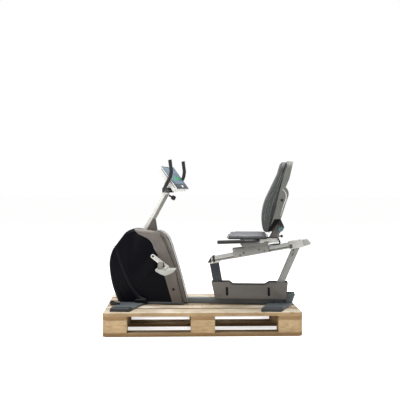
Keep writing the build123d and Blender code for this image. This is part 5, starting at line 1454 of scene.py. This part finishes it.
# ------------------------------------------------------------------ rail, posts and carriage
@dataclass
class RailAndCarriage:
    """Lines along the rail, the post's saddle, and the bolts and knobs of the carriage."""

    paints: Paints
    rail_x: float = 71.0
    rail_height: float = 284.0
    tilt: float = 10.6
    rail_half_height: float = 17.0
    rail_half_width: float = 30.0
    rail_length: float = 601.0
    channel: Pair = (-11.0, -2.5)   # above the rail's middle
    lip: Pair = (2.5, 5.0)
    sleeve_start: float = 506.0
    sleeve_t: float = 7.0
    # grey strips at the sleeve's front as painted shade of its mouth
    mouth_shade: tuple[Pair, Pair] = ((1.0, 20.0), (-18.0, 8.0))     # along from the sleeve's start, height
    saddle_size: tuple[Pair, Pair] = ((-10.0, 50.0), (-31.5, 31.5))
    saddle_t: float = 8.0
    rear_cap_from: float = 300.0    # X between the front and the rear end cap
    post_lean: float = 23.4
    post_half: float = 30.1
    post_slot_r: float = 2.2
    post_slots: tuple[tuple[float, float, float], ...] = ((600.0, 356.0, 16.0), (591.0, 322.0, 9.0))
    carriage_half_width: float = 52.0
    carriage_bolts: Line = ((280.0, 332.0), (257.0, 316.0), (379.0, 353.0), (412.0, 347.0))
    hinge_bolts: Line = ((463.0, 439.0), (488.0, 439.0))
    carriage_end: float = 376.0
    lock_t: float = 3.0
    lock_height: Pair = (-14.0, 27.0)
    rod_y: float = 50.0
    rod_r: float = 4.2
    rod: Line = (
        (507.0, 408.0), (510.0, 399.0), (507.0, 392.0), (490.0, 389.0), (466.0, 387.0), (440.0, 382.0))
    pivot: Pair = (512.0, 484.7)
    pin_r: float = 8.0
    pin_out: float = 4.0            # past the hinge plate
    hinge_outer: float = 50.0
    knob_r: float = 17.0
    knob_t: float = 14.0
    scallops: int = 10
    grip_r: float = 11.4

    def rail_matrix(self) -> Matrix:
        """Matrix from the rail's own axes (along, to the right, above its middle) to the world."""
        turn = Matrix.Rotation(-math.radians(self.tilt), 4, "Y")
        return Matrix.Translation(place(self.rail_x, 0, self.rail_height)) @ turn

    def build(self) -> None:
        """Builds everything on the rail."""
        p = self.paints
        self.rail_lines()
        self.saddle()
        rounded("rail_end_caps", "frame", p.black_plastic, "black_plastic", 4.0, 3, 25.0,
                (p.end_cap, lambda face: face.calc_center_median().x > self.rear_cap_from * MM))
        self.slide_rod()
        self.post_details()
        self.bolts()
        self.recline_knob()
        self.grip_ends()

    def on_sides(self, work: Workpiece, xs: Pair, ys: Pair, zs: Pair, edge: float = 0.0) -> None:
        """Adds a block to both sides, by its ranges along the rail, out from its middle and above it."""
        for side, _ in SIDES:
            work.block(xs, ys, zs, edge, 2, self.rail_matrix(), side)

    def rail_lines(self) -> None:
        """Shallow strips on both sides: a dark channel low on the rail, a pale lip above it, and grey strips at
        the sleeve's mouth that are painted shade.
        """
        half, sleeve = self.rail_half_width, self.rail_half_width + self.sleeve_t
        along = (2.0, self.rail_length - 4)
        start, end = (self.sleeve_start + x for x in self.mouth_shade[0])
        p = self.paints
        for name, finish, slot, xs, ys, zs in (
                ("rail_channels", p.channel, "rail_aluminium", along, (half - 0.4, half + 0.12), self.channel),
                ("rail_lips", p.rail_lip, "rail_aluminium", along, (half - 0.4, half + 0.16), self.lip),
                ("sleeve_mouth_shades", p.sleeve_mouth_shade, "light_grey_paint", (start, end),
                 (sleeve - 0.4, sleeve + 0.3), self.mouth_shade[1])):
            work = Workpiece(name)
            self.on_sides(work, xs, ys, zs)
            work.done("frame", finish, slot)

    def slide_rod(self) -> None:
        """The lever's rod, which runs forward above the rail to the lock, and the lock's black edge."""
        work = Workpiece("slide_rod")
        work.tube([place(x, -self.rod_y, h) for x, h in self.rod], self.rod_r, 4)
        self.on_sides(work, (self.carriage_end, self.carriage_end + self.lock_t),
                      (self.rail_half_width + 6, self.carriage_half_width - 0.5), self.lock_height, 0.8)
        work.done("carriage", self.paints.black_plastic, "black_plastic")

    def saddle(self) -> None:
        """The pale plate between the front post and the rail."""
        work = Workpiece("front_post_saddle")
        top = -self.rail_half_height
        work.block(*self.saddle_size, (top - self.saddle_t, top + 0.2), 1.5, 2, self.rail_matrix())
        work.done("frame", self.paints.pale, "light_grey_paint")

    def post_details(self) -> None:
        """Dark slots along the rear post."""
        work = Workpiece("rear_post_slots")
        lean = math.radians(self.post_lean)
        along = Vector((math.sin(lean), 0, math.cos(lean)))
        for side, _ in SIDES:
            for x, height, half in self.post_slots:
                centre = place(x, side * self.post_half, height)
                work.tube([centre - along * half * MM, centre + along * half * MM], self.post_slot_r, 3, False)
        work.done("frame", self.paints.seam_dark, "light_grey_paint")

    def bolts(self) -> None:
        """Button-head bolts on both sides of the carriage and on the hinge plates."""
        work = Workpiece("carriage_bolts")
        for side, _ in SIDES:
            for spots, y, r, h in ((self.carriage_bolts, self.carriage_half_width, 6.0, 3.0),
                                   (self.hinge_bolts, self.hinge_outer, 4.5, 2.5)):
                for x, height in spots:
                    work.bolt(place(x, side * y, height), sideways(side), r, h)
        work.done("carriage", self.paints.bolt_light, "silver_paint")

    def recline_knob(self) -> None:
        """The teal knob with a scalloped rim, on the pin that carries the backrest."""
        x, height = self.pivot
        axis = sideways(-1)
        base, far = (place(x, side * (self.hinge_outer + self.pin_out), height) for side, _ in SIDES)
        work = Workpiece("recline_pin_turned")
        work.rod(base, far, self.pin_r, 40, 0.6)
        r, t = self.knob_r, self.knob_t
        work.turned([(0, 0), (r * 0.86, 0), (r * 0.93, 1.5), (r * 0.93, t - 4), (r * 0.84, t - 1),
                     (r * 0.55, t), (r * 0.5, t - 1.2), (0, t - 1.2)], base, axis, 48)
        for step in range(self.scallops):
            angle = math.tau * step / self.scallops
            arm = Vector((math.cos(angle), 0, math.sin(angle))) * r * 0.86 * MM
            work.rod(base + arm + axis * MM, base + arm + axis * (t - 3) * MM, r * 0.14, 12, 0.5)
        work.done("carriage", self.paints.teal, "teal_plastic", 40.0, ("recline_pin",))

    def grip_ends(self) -> None:
        """Foam grips with domed ends over the side handles."""
        work = Workpiece("side_grips_turned")
        for side, _ in SIDES:
            spots = [v.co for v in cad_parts["side_grips"].data.vertices if v.co.y * side > 0]
            front, rear = min(co.x for co in spots), max(co.x for co in spots)
            low = [co.z for co in spots if co.x < front + 6 * MM]
            high = [co.z for co in spots if co.x > rear - 6 * MM]
            start = Vector((front + 1.5 * MM, side * 0.2, (min(low) + max(low)) / 2))
            end = Vector((rear - 0.5 * MM, side * 0.2, (min(high) + max(high)) / 2))
            span = (end - start).length / MM
            r = self.grip_r
            work.turned([(0, 0), (r * 0.6, 0.4), (r * 0.9, 2.5), (r, 6), (r, span - 3), (r * 0.96, span),
                         (10.3, span), (10.2, span - 6)], start, end - start, 40)
        work.done("carriage", self.paints.foam, "black_foam", 40.0, ("side_grips",))


# ------------------------------------------------------------------ cushions
@dataclass
class SoftPad:
    """A padded piece that is made slightly small, remeshed and blown up as cloth."""

    node: str
    body: str
    material: Material
    shrink: tuple[float, float, float]      # taken off each side, per axis
    cap: float = 6.0                        # most that a point may move
    voxel: float = 5.0
    pressure: float = 4.0
    fill: float = 0.6
    frames: int = 20

    def build(self) -> bpy.types.Object:
        """Makes the pad, without its seams.

        Returns:
            The object.
        """
        piece = self.remeshed()
        rest = [v.co.copy() for v in piece.data.vertices]
        self.inflate(piece, rest)
        for polygon in piece.data.polygons:
            polygon.use_smooth = True
        return piece

    def remeshed(self) -> bpy.types.Object:
        """A voxel copy of the CAD solid, a little smaller.

        Returns:
            The new object.
        """
        work = Workpiece(self.node + "_padded")
        verts = work.copy_of(self.node)
        low, high = (Vector(corner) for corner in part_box(self.node))
        middle = (low + high) / 2
        size = high - low
        ratio = [(size[i] - 2 * self.shrink[i] * MM) / size[i] for i in range(3)]
        for vertex in verts:
            vertex.co = Vector([middle[i] + (vertex.co[i] - middle[i]) * ratio[i] for i in range(3)])
        mesh = work.to_mesh()
        source = add_object("source", mesh)
        remesh = source.modifiers.new("voxels", "REMESH")
        remesh.mode, remesh.voxel_size = "VOXEL", self.voxel * MM
        bpy.context.view_layer.update()
        made = evaluated(source)
        made.name = work.name
        bpy.data.objects.remove(source)
        bpy.data.meshes.remove(mesh)
        made.materials.clear()
        made.materials.append(self.material)
        return add_object(work.name, made)

    def inflate(self, piece: bpy.types.Object, rest: list[Vector]) -> None:
        """Blows the piece up as cloth for some frames and applies the result.

        Args:
            piece: the remeshed pad.
            rest: where its points were.
        """
        scene = bpy.context.scene
        cloth = piece.modifiers.new("cloth", "CLOTH")
        cloth.settings.use_pressure = True
        cloth.settings.uniform_pressure_force = self.pressure
        cloth.settings.effector_weights.gravity = 0.0
        cloth.settings.quality = 5
        cloth.point_cache.frame_start, cloth.point_cache.frame_end = 1, self.frames
        for step in range(self.frames):
            scene.frame_set(step + 1)
        blown = evaluated(piece)
        most = self.cap * MM
        for vertex, old, new in zip(piece.data.vertices, rest, blown.vertices):
            move = new.co - old
            if move.length > most:
                move *= most / move.length
            vertex.co = old + move
        piece.modifiers.remove(cloth)
        bpy.data.meshes.remove(blown)
        scene.frame_set(1)

    def finish(self, piece: bpy.types.Object, rests_at: float | None = None) -> None:
        """Args:
            piece: the pad.
            rests_at: height in metres of what it rests on.
        """
        if rests_at is not None:
            for vertex in piece.data.vertices:
                vertex.co.z = max(vertex.co.z, rests_at)
        piece.data.update()
        more = piece.modifiers.new("finer", "SUBSURF")
        more.levels = more.render_levels = 1
        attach(piece, self.body)
        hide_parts(self.node)
        log.info("%s: %d faces on %s", piece.name, len(piece.data.polygons), self.body)


def tuck(piece: bpy.types.Object, path: Sequence[Vector], depth: float, reach: float) -> None:
    """Pulls a pad's skin in along a seam.

    Args:
        piece: the pad.
        path: the seam's points in metres.
        depth: how deep the seam sits, in millimetres.
        reach: how far to each side it pulls, in millimetres.
    """
    spans = list(zip(path, path[1:]))
    normals = [v.normal.copy() for v in piece.data.vertices]
    for vertex, normal in zip(piece.data.vertices, normals):
        nearest = reach * MM
        for start, end in spans:
            line = end - start
            share = max(0.0, min(1.0, (vertex.co - start).dot(line) / line.length_squared))
            nearest = min(nearest, (vertex.co - (start + line * share)).length)
        pull = 1 - nearest / (reach * MM)
        if pull > 0:
            vertex.co -= normal * depth * MM * pull * pull * (3 - 2 * pull)
    piece.data.update()


@dataclass
class Cushions:
    """Seat and back cushions with their seams and piping."""

    paints: Paints
    piping_r: float = 2.4
    piping_rise: float = 3.6
    piping_in: float = 0.5
    seat_corner: float = 38.0
    seat_roll: float = 34.0
    seat_seam_y: float = 62.0
    seat_seam_end: float = 14.0
    roll_tuck: Pair = (3.2, 11.0)           # depth and reach of a seam
    seat_tuck: Pair = (2.4, 9.0)
    back_tuck: Pair = (2.4, 10.0)
    side_tuck: Pair = (2.6, 9.0)
    side_cord_r: float = 1.5
    back_seams_at: Pair = (0.30, 0.60)      # shares of the cushion's height
    back_bow: float = 4.0
    back_seam_half: float = 175.0
    side_y: float = 178.0
    side_seams: tuple[Line, ...] = (
        ((408.0, 545.0), (420.0, 620.0), (444.0, 682.0), (482.0, 751.0), (505.0, 805.0), (531.0, 881.0)),
        ((437.0, 537.0), (448.0, 606.0), (471.0, 682.0), (499.0, 751.0), (519.0, 812.0), (546.0, 888.0)))

    def build(self) -> None:
        """Builds both cushions."""
        self.seat()
        self.back()

    def rounded_path(self, half_x: float, half_y: float, corner: float, steps: int = 6) -> list[Vector]:
        """Points round a rectangle with round corners.

        Args:
            half_x: half its length in millimetres.
            half_y: half its width in millimetres.
            corner: radius of its corners in millimetres.
            steps: steps of a corner.

        Returns:
            The points in metres about the rectangle's middle.
        """
        path = []
        for turn, (sx, sy) in enumerate(((1, 1), (-1, 1), (-1, -1), (1, -1))):
            for step in range(steps + 1):
                angle = math.pi / 2 * (turn + step / steps)
                path.append(point(sx * (half_x - corner) + corner * math.cos(angle),
                                  sy * (half_y - corner) + corner * math.sin(angle), 0))
        return path

    def seat(self) -> None:
        """The seat: a boxed cushion with a rolled front edge and seams behind it."""
        pad = SoftPad("seat_cushion", "carriage", self.paints.vinyl, (3.0, 4.0, 1.2))
        piece = pad.build()
        low, high = (Vector(corner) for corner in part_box("seat_cushion"))
        roll_x, end_x = low.x + self.seat_roll * MM, high.x - self.seat_seam_end * MM
        top = max(v.co.z for v in piece.data.vertices)
        tuck(piece, [Vector((roll_x, y * MM, top)) for y in range(-175, 176, 25)], *self.roll_tuck)
        for y, xs in ((-self.seat_seam_y, (roll_x, roll_x + MM, end_x)), (self.seat_seam_y, (roll_x, end_x))):
            tuck(piece, [Vector((x, y * MM, top)) for x in xs], *self.seat_tuck)
        pad.finish(piece, low.z)
        middle, half = (low + high) / 2, (high - low) / 2 / MM
        ring = self.rounded_path(half.x - self.piping_in, half.y - self.piping_in, self.seat_corner)
        welt = Workpiece("seat_piping")
        welt.tube([Vector((middle.x + p.x, middle.y + p.y, low.z + self.piping_rise * MM)) for p in ring],
                  self.piping_r, 3, True, True)
        welt.done("carriage", self.paints.piping, "cushion_vinyl")

    def back(self) -> None:
        """The back: a lumbar cushion with two seams across it and two cords down each side."""
        pad = SoftPad("back_cushion", "backrest", self.paints.vinyl_back, (6.0, 5.0, 0.5))
        piece = pad.build()
        low, high = (Vector(corner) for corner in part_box("back_cushion"))
        for share in self.back_seams_at:
            height = low.z + (high.z - low.z) * share
            row = [v.co for v in piece.data.vertices if abs(v.co.z - height) < 4 * MM and abs(v.co.y) < 20 * MM]
            front = min(co.x for co in row)
            tuck(piece, [Vector((front + (y / self.back_seam_half) ** 2 * self.back_bow * MM, y * MM, height))
                         for y in range(-150, 151, 25)], *self.back_tuck)
        runs = [(side, row) for side, _ in SIDES for row in self.side_seams]
        for side, row in runs:
            tuck(piece, [place(x, side * self.side_y, h) for x, h in row], *self.side_tuck)
        seams = Workpiece("back_side_seams")
        for side, row in runs:
            seams.tube([place(x, 0, h) + sideways(side) * self.skin(piece, x, h, side) for x, h in row],
                       self.side_cord_r, 3)
        seams.done("backrest", self.paints.seam, "cushion_vinyl")
        pad.finish(piece)

    def skin(self, piece: bpy.types.Object, x: float, height: float, side: int) -> float:
        """How far out a pad's side lies near a point of the side view.

        Args:
            piece: the pad.
            x: the point's X in millimetres.
            height: its height above the deck in millimetres.
            side: −1 on the left, 1 on the right.

        Returns:
            The distance from the middle plane in metres, less a little for the seam.
        """
        spot = place(x, 0, height)
        near = [v.co.y * side for v in piece.data.vertices
                if abs(v.co.x - spot.x) < 7 * MM and abs(v.co.z - spot.z) < 7 * MM]
        return max(near, default=0.17) - 0.4 * MM


@dataclass
class BackShell:
    """The backrest's moulded shell with a raised pale rim that is a painted highlight, side recesses and welt."""

    paints: Paints
    pivot: Pair = (512.0, 484.7)
    height: float = 429.0
    half_width: float = 195.0
    top_half_width: float = 150.0
    waist: float = 0.457
    # points of the welt, as shares of the height behind and above the pivot
    welt: Line = ((-0.150, 0.06), (-0.0673, 0.3726), (0.0409, 0.8029), (0.085, 0.955))
    recess: Pair = (517.0, 671.0)
    # the rim: a thin raised bead along the shell's edge, its pale colour a painted highlight
    rim: Line = ((515.0, 744.0), (535.0, 723.0), (543.0, 703.0), (543.0, 686.0), (524.0, 627.0), (507.0, 566.0))
    rim_radii: tuple[float, ...] = (0.8, 2.6, 3.0, 3.0, 2.6, 1.0)
    rim_in: float = 1.0
    welt_in: float = 1.5
    welt_r: float = 2.6
    edge_round: float = 4.5
    black_from: tuple[Pair, Pair] = ((471.0, 555.0), (427.0, 469.0))
    black_below: float = 554.0

    def half_at(self, share: float) -> float:
        """Half the backrest's width at a share of its height.

        Args:
            share: the share of the height above the pivot.

        Returns:
            The half width in millimetres.
        """
        if share <= self.waist:
            return self.half_width
        narrowing = self.half_width - self.top_half_width
        return self.half_width - narrowing * (share - self.waist) / (1 - self.waist)

    def moulding(self) -> None:
        """The shell itself, black on the lower corners of its sides."""
        work = Workpiece("back_shell_formed")
        work.round_edges(work.copy_of("back_shell"), self.edge_round, 4, 30.0)
        top, bottom = (place(x, 0, h) for x, h in self.black_from)
        across = (top - bottom).cross(sideways(1)).normalized()
        if across.x < 0:
            across.negate()
        level = place(0, 0, self.black_below)
        work.cut(top, across)
        work.cut(level, Vector((0, 0, 1)))

        def in_corner(face: bmesh.types.BMFace) -> bool:
            """Whether a face lies in the black corner."""
            middle = face.calc_center_median()
            return (middle - top).dot(across) > 0 and middle.z < level.z

        work.done("backrest", self.paints.shell, "taupe_plastic", 35.0, ("back_shell",),
                  (self.paints.deep_black, in_corner))

    def build(self) -> None:
        """Builds the shell and what is on it."""
        p = self.paints
        self.moulding()
        rim, welt, hole = Workpiece("shell_rim_highlights"), Workpiece("back_welt"), Workpiece("shell_recesses")
        pivot_x, pivot_h = self.pivot
        for side, _ in SIDES:
            rim.tube([place(x, side * (self.half_at((h - pivot_h) / self.height) - self.rim_in), h)
                      for x, h in self.rim], self.rim_radii, 3)
            welt.tube([place(pivot_x + back * self.height, side * (self.half_at(up) - self.welt_in),
                             pivot_h + up * self.height) for back, up in self.welt], self.welt_r, 3)
            hole.recess(place(self.recess[0], side * self.half_width, self.recess[1]), sideways(side),
                        (6.0, 7.2, 8.6, 9.2), (1.4, 0.9), 32)
        rim.done("backrest", p.shell_rim_highlight, "taupe_plastic")
        welt.done("backrest", p.piping, "cushion_vinyl")
        hole.done("backrest", p.black_plastic, "taupe_plastic")


def main() -> None:
    """Builds every sub-assembly in order."""
    paints = Paints()
    Studio().build()
    log.info("studio: floor, sky, three lamps, camera")
    for assembly in (PalletDress(paints), Formed(paints), FloorFrame(paints), DriveHousing(paints), Pedals(paints),
                     MastAndHead(paints), RailAndCarriage(paints), BackShell(paints), Cushions(paints)):
        assembly.build()
        log.info("%s: done", type(assembly).__name__)


if __name__ == "__main__":
    main()
